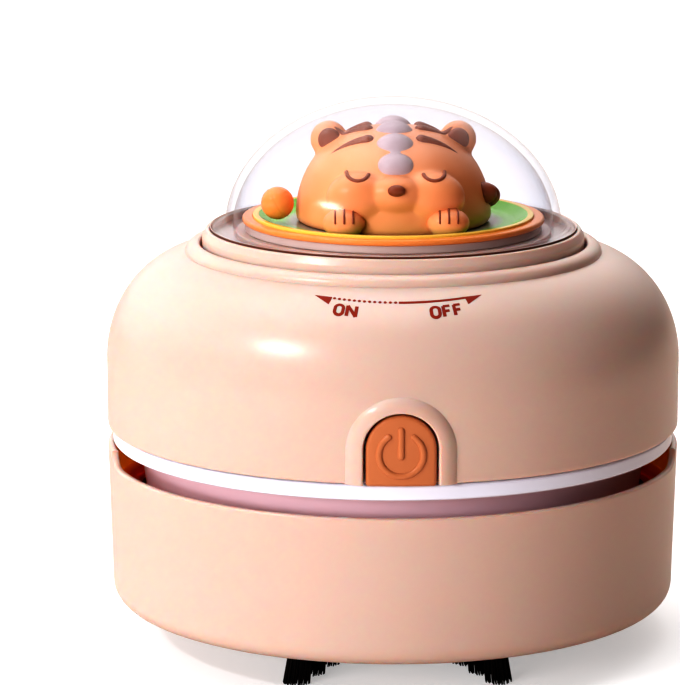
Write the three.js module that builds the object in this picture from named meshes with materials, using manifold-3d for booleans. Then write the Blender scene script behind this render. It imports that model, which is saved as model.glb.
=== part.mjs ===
// Desktop mini vacuum cleaner: a round two-tone body with a clear display dome on top.
// Millimetres, +Z up. The origin is at the bottom centre, on the plane the brushes stand on.
// The power button faces -Y.
import * as THREE from "three";
import { mergeVertices } from "three/addons/utils/BufferGeometryUtils.js";
import Module from "manifold-3d";

const wasm = await Module();
wasm.setup();

// Driving dimensions of the whole body
const body_radius = 43.0;
const body_wall = 1.6;
const fit_gap = 0.3;
const overrun = 1.0;
const brush_height = 5.8;
const cup_height = 22.0;
const slot_height = 2.43;
const ring_height = 2.27;
const shell_wall_height = 10.0;
const well_radius = 28.95;
const shoulder_margin = 0.05;
const lip_height = 1.35;
const well_floor = 1.4;
const well_depth = 3.3;
const shoulder_rise = 16.0;

// How finely round pieces are divided
const around_body = 40;
const around_dome = 32;
const around_small = 14;
const around_screw = 8;
const arc_steps = 4;
const shoulder_steps = 7;
const weld_distance = 1e-4;

// Levels that the driving dimensions give
const base_z = brush_height;
const rim_z = base_z + cup_height;
const ring_z = rim_z + slot_height;
const ring_top_z = ring_z + ring_height;
const seam_z = ring_top_z + fit_gap;
const shoulder_z = seam_z + shell_wall_height;
const shoulder_top_z = shoulder_z + shoulder_rise;
const shell_inner_radius = body_radius - body_wall;
const shoulder_centre = well_radius + shoulder_margin;
const shoulder_reach = body_radius - shoulder_centre;
const lip_z = shoulder_top_z + lip_height;
const well_floor_z = lip_z - well_depth;

// Exhaust slot across the front
const slot_half_angle = 75;
const front_angle = -90;
const back_angle = 90;

// Dust cup
const cup_taper = 0.6;
const cup_fillet = 2.8;
const cup_wall = 1.8;
const cup_floor = 1.8;
const cup_rim_round = 0.4;
const cup_floor_round = 1.4;
const cup_shelf_drop = 6.9;
const cup_shelf_depth = 1.5;
const cup_shelf_reach = 4.8;

// Nozzle set in the floor of the cup, with the suction mouth and its duct
const mouth_length = 26.0;
const mouth_width = 10.0;
const duct_wall = 1.4;
const duct_height = 10.0;
const nozzle_margin = 2.8;
const nozzle_flange = 1.6;
const nozzle_flange_height = 1.0;

// Brush strips under the cup
const strip_angle = 24.5;
const strip_gap = 2.4;
const strip_width = 4.6;
const strip_thickness = 1.2;
const strip_recess = 0.7;
const strip_inset = 6.8;
const tuft_pitch = 5.6;
const tuft_margin = 4.0;
const tuft_rows = 5;
const tuft_spacing = 0.72;
const tuft_flare_share = 0.28;
const strand_radius = 0.27;
const strand_sides = 3;
const strand_root = 0.4;

// Motor deck: the white ring, the filter cylinder under it and the fan chamber over it
const ring_inset = 0.75;
const ring_round = 0.25;
const deck_plate = 1.5;
const chamber_height = 5.37;
const chamber_wall = 0.8;
const eye_radius = 10.0;
const cylinder_inset = 2.9;
const cylinder_taper = 1.1;
const cylinder_wall = 1.4;
const skirt_wall = 0.7;
const skirt_depth = 2.3;
const skirt_half_angle = 100;
const window_count = 7;
const window_angle = 16;
const window_pitch = 20;
const window_width = 1.4;
const post_radius = 2.6;
const post_circle_inset = 6.6;
const boss_radius = 2.8;
const boss_top_inset = 0.4;
const post_angles = [26.5, 153.5, 230.4, 309.6];

// Screws that join the deck, the fan cover and the upper shell
const screw_radius = 0.8;
const screw_head_radius = 1.9;
const screw_head_height = 0.9;
const screw_length = 13.0;
const screw_recess_radius = screw_head_radius + fit_gap;

// Seal and filter
const seal_width = 2.6;
const seal_height = 0.7;
const frame_height = 1.8;
const frame_rim = 2.0;
const frame_hub_radius = 4.0;
const frame_spoke_width = 2.0;
const frame_spoke_count = 6;
const tab_length = 10.0;
const tab_thickness = 1.4;
const tab_depth = 3.6;
const tab_place = 20.0;
const cloth_thickness = 1.1;

// Fan cover over the chamber
const cover_thickness = 1.2;
const collar_wall = 1.2;
const collar_height = 5.0;

// Motor
const motor_radius = 12.2;
const motor_height = 12.4;
const motor_cap_height = 1.2;
const motor_cap_inset = 0.6;
const motor_boss_radius = 3.0;
const motor_boss_height = 1.2;
const motor_rear_boss_height = 0.9;
const shaft_radius = 1.0;
const shaft_grip = 6.8;
const strap_half_length = 19.5;
const strap_width = 7.0;
const strap_thickness = 1.2;
const strap_post_place = 16.5;
const strap_post_radius = 2.4;
const strap_screw_length = 6.0;

// Impeller
const impeller_clearance = 2.9;
const impeller_plate = 1.1;
const impeller_top_gap = 0.4;
const impeller_floor_gap = 0.6;
const hub_radius = 4.5;
const blade_count = 9;
const blade_thickness = 1.0;
const blade_inner_radius = 9.0;
const blade_sweep = 48;
const blade_steps = 4;

// Cell and its holder
const cell_spacing = 0.6;
const motor_spacing = 0.9;
const cell_top_gap = 0.9;
const cell_cap_radius = 2.6;
const cell_cap_height = 0.5;
const holder_floor = 1.0;
const holder_wall = 1.4;
const holder_margin = 0.9;
const holder_end_height = 10.0;
const holder_rail_height = 3.2;
const contact_thickness = 0.4;
const contact_margin = 1.0;
const holder_end_gap = 2.78;

// Charging board and socket at the back
const board_length = 17.0;
const board_depth = 8.6;
const board_thickness = 1.0;
const board_setback = 7.3;
const board_post_radius = 1.4;
const board_post_height = 1.0;
const board_post_place = 6.2;
const socket_width = 8.94;
const socket_height = 3.2;
const socket_depth = 7.6;
const socket_wall = 0.3;
const socket_inset = 0.4;
const socket_corner = 1.3;
const tongue_width = 6.6;
const tongue_height = 0.7;
const tongue_depth = 4.6;
const chip_width = 3.2;
const chip_height = 0.9;
const coil_width = 3.4;
const coil_height = 2.0;
const chip_place = 5.2;
const chip_setback = 2.5;

// Power button and its switch
const button_width = 10.0;
const button_height = 10.0;
const button_thickness = 1.5;
const button_proud = 0.7;
const button_travel = 0.8;
const button_band_angle = 30;
const bezel_margin = 2.6;
const bezel_top_margin = 2.4;
const bezel_proud = 0.9;
const flange_half_width = 6.2;
const flange_bottom = 6.3;
const flange_top = 12.0;
const flange_setback = 2.7;
const flange_thickness = 1.0;
const stem_half_width = 2.2;
const stem_height = 3.2;
const switch_width = 8.0;
const switch_height = 6.0;
const switch_depth = 8.0;
const switch_setback = 7.5;
const plunger_radius = 1.2;
const plunger_bore = 3.0;
const switch_board_margin = 2.6;

// Neck of the upper shell, where the dome cap locks
const lip_foot_reach = 2.2;
const lip_round_reach = 0.45;
const neck_wall = 2.4;
const lug_count = 3;
const lug_angle = 12;
const lug_height = 0.9;
const lug_rise = 1.5;
const lug_reach = 1.1;
const lug_first_angle = 30;
const cap_turn = 30;
const lug_play_angle = 2;

// Dome cap base
const cap_gap = 0.35;
const cap_skirt_wall = 2.2;
const cap_deck_gap = 0.4;
const cap_deck_height = 2.2;
const cap_ledge_height = 1.3;
const cap_rim_width = 1.15;
const cap_rim_rise = 0.3;
const cap_edge_height = 1.6;
const cap_edge_width = 0.9;
const cap_chamfer = 0.4;
const cap_height = 4.65;

// Clear dome
const dome_height = 19.5;
const dome_wall = 1.2;
const dome_flange_reach = 1.95;
const dome_flange = 0.8;
const dome_step_reach = 1.0;
const dome_step_height = 0.4;
const dome_steps = 6;

// Tray inside the dome
const tray_inset = 1.0;
const tray_base_inset = 0.3;
const tray_base_height = 0.6;
const tray_rim_width = 1.3;
const tray_rim_height = 1.1;
const tray_rim_round = 0.4;
const dish_floor = 0.5;
const dish_rise = 0.75;
const dish_edge = 0.6;
const dish_slope = 2.4;

// Figure on the tray
const figure_margin = 8.0;
const figure_depth_share = 0.96;
const figure_swell_share = 1.16;
const figure_height = 13.6;
const figure_steps = 6;
const figure_foot_inset = 0.5;
const crest_width = 6.4;
const crest_height = 15.0;
const crest_inset = 6.6;
const crest_lift = 8.0;
const ear_radius = 2.4;
const ear_inset = 6.0;
const ear_lift = 11.0;
const ear_back = 1.5;
const paw_radius = 3.0;
const paw_angle = 31;
const paw_overhang = 0.1;
const paw_lift = 1.7;
const tail_radius = 1.9;
const tail_overhang = 1.6;
const tail_lift = 5.6;
const tail_back = -3.0;
const tail_depth = 5.0;
const ball_radius = 2.5;
const ball_spacing = 0.2;
const ball_y = -3.6;

const degree = Math.PI / 180;

// Turns a closed geometry into a solid, with its faces out whichever way its outline ran.
function solid(geometry) {
  const bare = new THREE.BufferGeometry();
  bare.setAttribute("position", geometry.getAttribute("position"));
  if (geometry.index) bare.setIndex(geometry.index);
  const merged = mergeVertices(bare, weld_distance);
  const vertProperties = new Float32Array(merged.getAttribute("position").array);
  const triVerts = new Uint32Array(merged.index.array);
  const made = new wasm.Manifold(new wasm.Mesh({ numProp: 3, vertProperties, triVerts }));
  if (made.volume() > 0) return made;
  const turned = triVerts.slice().reverse();
  return new wasm.Manifold(new wasm.Mesh({ numProp: 3, vertProperties, triVerts: turned }));
}

function join(...solids) {
  return solids.reduce((whole, next) => whole.add(next));
}

function cut(whole, ...holes) {
  return holes.reduce((left, hole) => left.subtract(hole), whole);
}

// A solid of revolution about +Z from points [radius, height].
function turned(points, segments) {
  const outline = points.map(([radius, height]) => new THREE.Vector2(radius, height));
  const closed = points[0][0] > 0 ? [...outline, outline[0].clone()] : outline;
  return solid(new THREE.LatheGeometry(closed, segments).rotateX(Math.PI / 2));
}

// An outline in the XY plane, raised from one height to another.
function raised(outline, low, high) {
  const shape = new THREE.Shape(outline.map(([x, y]) => new THREE.Vector2(x, y)));
  const geometry = new THREE.ExtrudeGeometry(shape, { depth: high - low, bevelEnabled: false });
  return solid(geometry.translate(0, 0, low));
}

function cylinder(radius, low, high, segments, x = 0, y = 0) {
  const geometry = new THREE.CylinderGeometry(radius, radius, high - low, segments);
  return solid(geometry.rotateX(Math.PI / 2).translate(x, y, (low + high) / 2));
}

function block([x0, x1], [y0, y1], [z0, z1]) {
  const geometry = new THREE.BoxGeometry(x1 - x0, y1 - y0, z1 - z0);
  return solid(geometry.translate((x0 + x1) / 2, (y0 + y1) / 2, (z0 + z1) / 2));
}

function ball(radius, x, y, z, scale = [1, 1, 1]) {
  const geometry = new THREE.SphereGeometry(radius, around_small, around_small / 2);
  return solid(geometry.rotateX(Math.PI / 2).scale(...scale).translate(x, y, z));
}

// A band of a ring between two angles, in degrees from +X.
function band(inner, outer, from, to, low, high) {
  const steps = Math.max(2, Math.ceil((Math.abs(to - from) / 360) * around_body));
  const turn = ((to - from) / steps) * degree;
  const angles = Array.from({ length: steps + 1 }, (_, i) => from * degree + turn * i);
  const outside = angles.map((a) => [outer * Math.cos(a), outer * Math.sin(a)]);
  const inside = angles.map((a) => [inner * Math.cos(a), inner * Math.sin(a)]);
  return raised([...outside, ...inside.reverse()], low, high);
}

// Points of a quarter or part of an ellipse round [cx, cz], from one angle to another.
function arc(cx, cz, reach, rise, from, to, steps = arc_steps) {
  return Array.from({ length: steps + 1 }, (_, i) => {
    const angle = (from + ((to - from) * i) / steps) * degree;
    return [cx + reach * Math.cos(angle), cz + rise * Math.sin(angle)];
  });
}

function polar(radius, angle) {
  return [radius * Math.cos(angle * degree), radius * Math.sin(angle * degree)];
}

// A flat-bottomed arch in the XZ plane, as a bar along Y.
function arch(half_width, height, low, y0, y1) {
  const top = low + height - half_width;
  const outline = [
    [-half_width, low],
    [half_width, low],
    ...arc(0, top, half_width, half_width, 0, 180, 2 * arc_steps),
  ];
  const shape = new THREE.Shape(outline.map(([x, z]) => new THREE.Vector2(x, z)));
  const geometry = new THREE.ExtrudeGeometry(shape, { depth: y1 - y0, bevelEnabled: false });
  return solid(geometry.rotateX(Math.PI / 2).translate(0, y1, 0));
}

// A rectangle with rounded corners, centred on the origin, as outline points.
function rounded(length, width, corner, steps) {
  const x = length / 2 - corner;
  const y = width / 2 - corner;
  const corners = [[x, y, 0], [-x, y, 90], [-x, -y, 180], [x, -y, 270]];
  return corners.flatMap(([cx, cy, from]) => arc(cx, cy, corner, corner, from, from + 90, steps));
}

function finish(colour, roughness, metalness = 0, opacity = 1) {
  return new THREE.MeshStandardMaterial({
    color: colour,
    roughness,
    metalness,
    opacity,
    transparent: opacity < 1,
  });
}

const peach = finish(0xf3d0b9, 0.42);
const white = finish(0xf7f6fa, 0.35);
const orange = finish(0xdd7a45, 0.45);
const black = finish(0x0c0c0e, 0.6);
const grey_rubber = finish(0x8e8f92, 0.8);
const steel = finish(0xb9bcc0, 0.3, 1);
const brass = finish(0xc9a65a, 0.35, 1);
const clear = finish(0xf3f6fa, 0.05, 0, 0.25);
const cloth = finish(0xe9e7e0, 0.95);
const board_green = finish(0x1f6b46, 0.55);
const cell_blue = finish(0x3c78b4, 0.5);
const nickel = finish(0xc7c4bb, 0.35, 1);
const tray_brown = finish(0x8a6a5e, 0.3);
const tray_orange = finish(0xee7d35, 0.35);
const tray_green = finish(0x62ae4b, 0.4);
const cub_orange = finish(0xf08c46, 0.4);

const part = new THREE.Group();

// Adds a solid to a group as one named mesh.
function add(group, name, whole, material, place = [0, 0, 0]) {
  const { vertProperties, numProp, triVerts } = whole.getMesh();
  const count = vertProperties.length / numProp;
  const positions = new Float32Array(count * 3);
  for (let i = 0; i < count; i++) {
    positions.set(vertProperties.subarray(i * numProp, i * numProp + 3), i * 3);
  }
  const geometry = new THREE.BufferGeometry();
  geometry.setAttribute("position", new THREE.BufferAttribute(positions, 3));
  geometry.setIndex(new THREE.BufferAttribute(new Uint32Array(triVerts), 1));
  geometry.computeVertexNormals();
  const mesh = new THREE.Mesh(geometry, material);
  mesh.name = name;
  mesh.position.set(...place);
  group.add(mesh);
  return mesh;
}

// Cup sizes that other pieces share
const cup_inner_radius = body_radius - cup_wall;
const cup_base_radius = body_radius - cup_taper;
const cup_floor_z = base_z + cup_floor;
const cup_top_z = ring_z - fit_gap;
const shelf_z = rim_z - cup_shelf_drop;
const shelf_inner_radius = cup_inner_radius - cup_shelf_reach;
const seal_z = shelf_z + fit_gap;
const cylinder_low_z = seal_z + seal_height + fit_gap;
const nozzle_radius = mouth_length / 2 + duct_wall + nozzle_margin;
const strip_near = nozzle_radius + strip_gap;
const strip_far = cup_base_radius - strip_inset;
const tuft_count = Math.floor((strip_far - strip_near - tuft_margin) / tuft_pitch) + 1;
const duct_top_z = cup_floor_z + duct_height;
const strip_top_z = base_z + strip_recess;
const strip_low_z = strip_top_z - strip_thickness;
const strip_places = [-1, 1].flatMap((side) => [
  front_angle + side * strip_angle,
  back_angle + side * strip_angle,
]);

function dust_cup() {
  const fillet = arc(cup_base_radius - cup_fillet, base_z + cup_fillet, cup_fillet, cup_fillet, -90, 0, 3);
  const shell = turned([
    [0, base_z],
    ...fillet,
    [body_radius, cup_top_z - cup_rim_round],
    [body_radius - cup_rim_round, cup_top_z],
    [cup_inner_radius, cup_top_z],
    [cup_inner_radius, shelf_z],
    [shelf_inner_radius, shelf_z],
    [shelf_inner_radius, shelf_z - cup_shelf_depth],
    [cup_inner_radius - fit_gap, shelf_z - cup_shelf_depth - cup_shelf_reach],
    [cup_base_radius - cup_wall, cup_floor_z + cup_floor_round],
    [cup_base_radius - cup_wall - cup_floor_round, cup_floor_z],
    [0, cup_floor_z],
  ], around_body);
  const slot = band(
    cup_inner_radius - overrun, body_radius + overrun,
    front_angle - slot_half_angle, front_angle + slot_half_angle,
    rim_z, cup_top_z + overrun,
  );
  const hole = cylinder(nozzle_radius + fit_gap, base_z - overrun, cup_floor_z + overrun, around_dome);
  const pockets = strip_places.map((angle) =>
    strip_block(fit_gap, base_z - overrun, strip_top_z + fit_gap, angle));
  return cut(shell, hole, slot, ...pockets);
}

// The round plate in the floor of the cup, with the suction mouth and the duct that rises from it.
function suction_nozzle() {
  const flange_z = cup_floor_z + fit_gap;
  const plate = turned([
    [0, base_z],
    [nozzle_radius, base_z],
    [nozzle_radius, flange_z],
    [nozzle_radius + nozzle_flange, flange_z],
    [nozzle_radius + nozzle_flange, flange_z + nozzle_flange_height],
    [0, flange_z + nozzle_flange_height],
  ], around_dome);
  const duct_length = mouth_length + 2 * duct_wall;
  const duct_width = mouth_width + 2 * duct_wall;
  const duct = raised(rounded(duct_length, duct_width, duct_width / 2, arc_steps), base_z, duct_top_z);
  const mouth = raised(rounded(mouth_length, mouth_width, mouth_width / 2, arc_steps),
    base_z - overrun, duct_top_z + overrun);
  return cut(join(plate, duct), mouth);
}

// The straight bar that a brush strip is set in, along a radius of the base.
function strip_block(margin, low, high, angle) {
  const half_width = strip_width / 2 + margin;
  return block([strip_near - margin, strip_far + margin], [-half_width, half_width], [low, high])
    .rotate([0, 0, angle]);
}

// One bristle: a thin three-sided prism from its root in the bar to its tip on the ground.
function strand(root, tip) {
  const ring = (centre, z) => Array.from({ length: strand_sides }, (_, i) => {
    const angle = (2 * Math.PI * i) / strand_sides;
    return [centre[0] + strand_radius * Math.cos(angle), centre[1] + strand_radius * Math.sin(angle), z];
  });
  const geometry = new THREE.BufferGeometry();
  const points = [...ring(tip, 0), ...ring(root, strip_low_z + strand_root)];
  geometry.setAttribute("position", new THREE.Float32BufferAttribute(points.flat(), 3));
  const faces = [];
  for (let i = 0; i < strand_sides; i++) {
    const next = (i + 1) % strand_sides;
    faces.push(i, next, next + strand_sides, i, next + strand_sides, i + strand_sides);
    if (i > 0 && next > 0) faces.push(0, next, i, strand_sides, i + strand_sides, next + strand_sides);
  }
  geometry.setIndex(faces);
  return geometry.toNonIndexed();
}

function brush_strip(angle) {
  const bar = strip_block(0, strip_low_z, strip_top_z, angle);
  const middle = (tuft_rows - 1) / 2;
  const strands = [];
  for (let tuft = 0; tuft < tuft_count; tuft++) {
    const radius = (strip_near + strip_far) / 2 + (tuft - (tuft_count - 1) / 2) * tuft_pitch;
    for (let i = 0; i < tuft_rows; i++) {
      for (let j = 0; j < tuft_rows; j++) {
        const u = (i - middle) * tuft_spacing;
        const v = (j - middle) * tuft_spacing;
        const spread = 1 + tuft_flare_share;
        strands.push(strand([radius + u, v], [radius + u * spread, v * spread]));
      }
    }
  }
  const bristles = strands.map((geometry) => solid(geometry));
  return join(bar, wasm.Manifold.compose(bristles).rotate([0, 0, angle]));
}

// Deck sizes that other pieces share
const ring_radius = body_radius - ring_inset;
const cylinder_top_radius = cup_inner_radius - cylinder_inset;
const cylinder_low_radius = cylinder_top_radius - cylinder_taper;
const chamber_radius = shell_inner_radius - fit_gap;
const chamber_inner_radius = chamber_radius - chamber_wall;
const chamber_floor_z = ring_z + deck_plate;
const chamber_top_z = chamber_floor_z + chamber_height;
const cover_z = chamber_top_z + fit_gap;
const cover_top_z = cover_z + cover_thickness;
const screw_hole_radius = screw_radius + fit_gap;
const head_seat_z = ring_z + screw_head_height + fit_gap;
const post_circle_radius = chamber_radius - post_circle_inset;
const post_places = post_angles.map((angle) => polar(post_circle_radius, angle));

function screw_hole([x, y], low, high) {
  return cylinder(screw_hole_radius, low, high, around_screw, x, y);
}

function motor_deck() {
  const pan = turned([
    [eye_radius, ring_z],
    [cylinder_top_radius - cylinder_wall, ring_z],
    [cylinder_low_radius - cylinder_wall, cylinder_low_z],
    [cylinder_low_radius, cylinder_low_z],
    [cylinder_top_radius, ring_z],
    [ring_radius - ring_round, ring_z],
    [ring_radius, ring_z + ring_round],
    [ring_radius, ring_top_z - ring_round],
    [ring_radius - ring_round, ring_top_z],
    [chamber_radius, ring_top_z],
    [chamber_radius, chamber_top_z],
    [chamber_inner_radius, chamber_top_z],
    [chamber_inner_radius, chamber_floor_z],
    [eye_radius, chamber_floor_z],
  ], around_body);
  const skirt_radius = cup_inner_radius - fit_gap;
  const skirt = band(
    skirt_radius - skirt_wall, skirt_radius,
    back_angle - skirt_half_angle, back_angle + skirt_half_angle,
    ring_z - skirt_depth, ring_z + deck_plate / 2,
  );
  const posts = post_places.map(([x, y]) =>
    cylinder(post_radius, chamber_floor_z - deck_plate / 2, chamber_top_z, around_small, x, y));
  const holes = post_places.flatMap(([x, y]) => [
    screw_hole([x, y], ring_z - overrun, chamber_top_z + overrun),
    cylinder(screw_recess_radius, ring_z - overrun, head_seat_z, around_screw, x, y),
  ]);
  const window_radius = cylinder_top_radius + fit_gap;
  const windows = Array.from({ length: window_count }, (_, i) => {
    const middle = front_angle + (i - (window_count - 1) / 2) * window_pitch;
    return band(
      window_radius, window_radius + window_width,
      middle - window_angle / 2, middle + window_angle / 2,
      ring_z - overrun, chamber_floor_z + overrun,
    );
  });
  return cut(join(pan, skirt, ...posts), ...windows, ...holes);
}

function cross_screw(length) {
  const head = cylinder(screw_head_radius, 0, screw_head_height, around_screw);
  const thread = cylinder(screw_radius, screw_head_height / 2, screw_head_height + length, around_screw);
  const groove = screw_radius / 2;
  const depth = screw_head_height / 2;
  const slots = [
    block([-screw_radius, screw_radius], [-groove / 2, groove / 2], [-overrun, depth]),
    block([-groove / 2, groove / 2], [-screw_radius, screw_radius], [-overrun, depth]),
  ];
  return cut(join(head, thread), ...slots);
}

function seal_ring() {
  const inner = cylinder_low_radius - cylinder_wall + fit_gap;
  return turned([
    [inner, seal_z],
    [inner + seal_width, seal_z],
    [inner + seal_width, seal_z + seal_height],
    [inner, seal_z + seal_height],
  ], around_body);
}

const frame_radius = cylinder_low_radius - cylinder_wall - fit_gap;
const frame_top_z = cylinder_low_z + frame_height;

function filter_frame() {
  const low = cylinder_low_z;
  const rim = turned([
    [frame_radius - frame_rim, low],
    [frame_radius, low],
    [frame_radius, frame_top_z],
    [frame_radius - frame_rim, frame_top_z],
  ], around_body);
  const hub = cylinder(frame_hub_radius, low, frame_top_z, around_screw);
  const half = frame_spoke_width / 2;
  const spokes = Array.from({ length: frame_spoke_count }, (_, i) =>
    block([0, frame_radius - frame_rim / 2], [-half, half], [low, frame_top_z])
      .rotate([0, 0, (360 * i) / frame_spoke_count + back_angle]));
  const tab = block(
    [-tab_thickness / 2, tab_thickness / 2],
    [tab_place - tab_length / 2, tab_place + tab_length / 2],
    [low - tab_depth, low + frame_height / 2],
  );
  return join(rim, hub, ...spokes, tab);
}

function filter_cloth() {
  const low = frame_top_z + fit_gap;
  return cylinder(frame_radius, low, low + cloth_thickness, around_body);
}

// Motor sizes that other pieces share
const motor_z = cover_top_z + fit_gap;
const motor_top_z = motor_z + motor_height;
const motor_can_top_z = motor_top_z - motor_cap_height - fit_gap;
const shaft_top_z = motor_z + shaft_grip;
const strap_post_places = [[-strap_post_place, 0], [strap_post_place, 0]];
const socket_front_y = body_radius - socket_inset;
const board_place = socket_front_y - board_setback;
const collar_radius = motor_radius + fit_gap + collar_wall;
const holder_z = cover_top_z + fit_gap;
const cell_low_z = holder_z + holder_floor + fit_gap;

// The cell is the thickest that fits between the motor and the board and under the neck's floor.
const cell_far_y = board_place - board_depth / 2 - cell_spacing;
const cell_room = cell_far_y - collar_radius - motor_spacing - 2 * holder_margin;
const cell_headroom = well_floor_z - well_floor - cell_top_gap - cell_low_z;
const cell_radius = Math.min(cell_room, cell_headroom) / 2;
const holder_half_width = cell_radius + holder_margin;
const cell_y = cell_far_y - holder_half_width;
const cell_z = cell_low_z + cell_radius;
const contact_width = cell_radius + contact_margin;
const holder_end_half_width = contact_width / 2 + holder_wall;
const holder_half_length = Math.sqrt(chamber_radius ** 2 - (cell_y + holder_end_half_width) ** 2)
  - holder_end_gap;
const contact_place = holder_half_length - holder_wall - fit_gap - contact_thickness;
const cell_length = 2 * (contact_place - fit_gap);
const board_z = cover_top_z + board_post_height + fit_gap;
const board_top_z = board_z + board_thickness;

function fan_cover() {
  const boss_hole = motor_boss_radius + fit_gap;
  const collar_inner = collar_radius - collar_wall;
  const disc = turned([
    [boss_hole, cover_z],
    [chamber_radius, cover_z],
    [chamber_radius, cover_top_z],
    [collar_radius, cover_top_z],
    [collar_radius, cover_top_z + collar_height],
    [collar_inner, cover_top_z + collar_height],
    [collar_inner, cover_top_z],
    [boss_hole, cover_top_z],
  ], around_body);
  const seat_z = cover_top_z - cover_thickness / 2;
  const strap_posts = strap_post_places.map(([x, y]) =>
    cylinder(strap_post_radius, seat_z, motor_top_z, around_small, x, y));
  const board_posts = [-board_post_place, board_post_place].map((x) =>
    cylinder(board_post_radius, seat_z, cover_top_z + board_post_height, around_screw, x, board_place));
  const holes = [
    ...post_places.map((place) => screw_hole(place, cover_z - overrun, cover_top_z + overrun)),
    ...strap_post_places.map((place) =>
      screw_hole(place, motor_top_z - strap_screw_length, motor_top_z + overrun)),
  ];
  return cut(join(disc, ...strap_posts, ...board_posts), ...holes);
}

function motor_can() {
  const bore = shaft_radius + fit_gap;
  return turned([
    [0, shaft_top_z + fit_gap],
    [bore, shaft_top_z + fit_gap],
    [bore, motor_z - motor_boss_height],
    [motor_boss_radius, motor_z - motor_boss_height],
    [motor_boss_radius, motor_z],
    [motor_radius, motor_z],
    [motor_radius, motor_can_top_z],
    [0, motor_can_top_z],
  ], around_small);
}

function motor_cap() {
  const low = motor_can_top_z + fit_gap;
  const radius = motor_radius - motor_cap_inset;
  return turned([
    [0, low],
    [radius, low],
    [radius, motor_top_z],
    [motor_boss_radius, motor_top_z],
    [motor_boss_radius, motor_top_z + motor_rear_boss_height],
    [0, motor_top_z + motor_rear_boss_height],
  ], around_small);
}

function motor_strap() {
  const low = motor_top_z + fit_gap;
  const high = low + strap_thickness;
  const bar = raised(rounded(2 * strap_half_length, strap_width, strap_width / 2, arc_steps), low, high);
  const boss = cylinder(motor_boss_radius + fit_gap, low - overrun, high + overrun, around_small);
  const holes = strap_post_places.map((place) => screw_hole(place, low - overrun, high + overrun));
  return cut(bar, boss, ...holes);
}

// Impeller sizes
const impeller_radius = post_circle_radius - post_radius - impeller_clearance;
const impeller_top_z = motor_z - motor_boss_height - impeller_top_gap;
const impeller_low_z = chamber_floor_z + impeller_floor_gap;

function blade() {
  const side = (offset) => Array.from({ length: blade_steps + 1 }, (_, i) => {
    const share = i / blade_steps;
    const radius = blade_inner_radius + (impeller_radius - blade_inner_radius) * share;
    return polar(radius, offset / radius / degree - blade_sweep * share);
  });
  const half = blade_thickness / 2;
  return raised([...side(-half), ...side(half).reverse()],
    impeller_low_z, impeller_top_z - impeller_plate / 2);
}

function impeller() {
  const plate_z = impeller_top_z - impeller_plate;
  const bore = shaft_radius + fit_gap;
  const wheel = turned([
    [bore, impeller_low_z],
    [hub_radius, impeller_low_z],
    [hub_radius, plate_z],
    [impeller_radius, plate_z],
    [impeller_radius, impeller_top_z],
    [bore, impeller_top_z],
  ], around_dome);
  const blades = Array.from({ length: blade_count }, (_, i) =>
    blade().rotate([0, 0, (360 * i) / blade_count]));
  return join(wheel, ...blades);
}

function motor_shaft() {
  return cylinder(shaft_radius, impeller_low_z, shaft_top_z, around_screw);
}

function along_x(radius, low, high) {
  const geometry = new THREE.CylinderGeometry(radius, radius, high - low, around_small);
  return solid(geometry.rotateZ(-Math.PI / 2).translate((low + high) / 2, cell_y, cell_z));
}

function battery_cell() {
  const half = cell_length / 2;
  const body = along_x(cell_radius, -half, half - cell_cap_height);
  const cap = along_x(cell_cap_radius, -half / 2, half);
  return join(body, cap);
}

function cell_holder() {
  const floor_top = holder_z + holder_floor;
  const y_range = [cell_y - holder_half_width, cell_y + holder_half_width];
  const inner_end = holder_half_length - holder_wall;
  const ends = [-1, 1].map((side) => {
    const x_range = [side * inner_end, side * holder_half_length].sort((a, b) => a - b);
    return block(x_range, [cell_y - holder_end_half_width, cell_y + holder_end_half_width],
      [holder_z, floor_top + holder_end_height]);
  });
  const rails = [-1, 1].map((side) => {
    const outer = cell_y + side * holder_half_width;
    const y_pair = [outer - side * holder_wall, outer].sort((a, b) => a - b);
    return block([-inner_end, inner_end], y_pair, [holder_z, floor_top + holder_rail_height]);
  });
  const floor = block([-holder_half_length, holder_half_length], y_range, [holder_z, floor_top]);
  const hollow = along_x(cell_radius + fit_gap, -inner_end, inner_end);
  return join(cut(join(floor, ...rails), hollow), ...ends);
}

function cell_contact(side) {
  const x_range = [side * contact_place, side * (contact_place + contact_thickness)].sort((a, b) => a - b);
  return block(x_range, [cell_y - contact_width / 2, cell_y + contact_width / 2],
    [holder_z + holder_floor + fit_gap, cell_z + contact_width / 2]);
}

function charge_board() {
  return block([-board_length / 2, board_length / 2],
    [board_place - board_depth / 2, board_place + board_depth / 2], [board_z, board_top_z]);
}

// Socket place, which the port in the shell follows
const socket_z = board_top_z + fit_gap + socket_height / 2;

// A rounded bar along Y at the socket's height.
function socket_bar(width, height, corner, y0, y1) {
  const shape = new THREE.Shape(rounded(width, height, corner, 3).map(([x, y]) => new THREE.Vector2(x, y)));
  const geometry = new THREE.ExtrudeGeometry(shape, { depth: y1 - y0, bevelEnabled: false });
  return solid(geometry.rotateX(Math.PI / 2).translate(0, y1, socket_z));
}

function usb_socket() {
  const back = socket_front_y - socket_depth;
  const inner_width = socket_width - 2 * socket_wall;
  const inner_height = socket_height - 2 * socket_wall;
  const outer = socket_bar(socket_width, socket_height, socket_corner, back, socket_front_y);
  const hollow = socket_bar(inner_width, inner_height, socket_corner - socket_wall,
    back + 2 * socket_wall, socket_front_y + overrun);
  const tongue = block([-tongue_width / 2, tongue_width / 2], [back + socket_wall, back + tongue_depth],
    [socket_z - tongue_height / 2, socket_z + tongue_height / 2]);
  return join(cut(outer, hollow), tongue);
}

function board_component(width, height, x) {
  const y = board_place - chip_setback;
  return block([x - width / 2, x + width / 2], [y - width / 2, y + width / 2],
    [board_top_z + fit_gap, board_top_z + fit_gap + height]);
}

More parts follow.
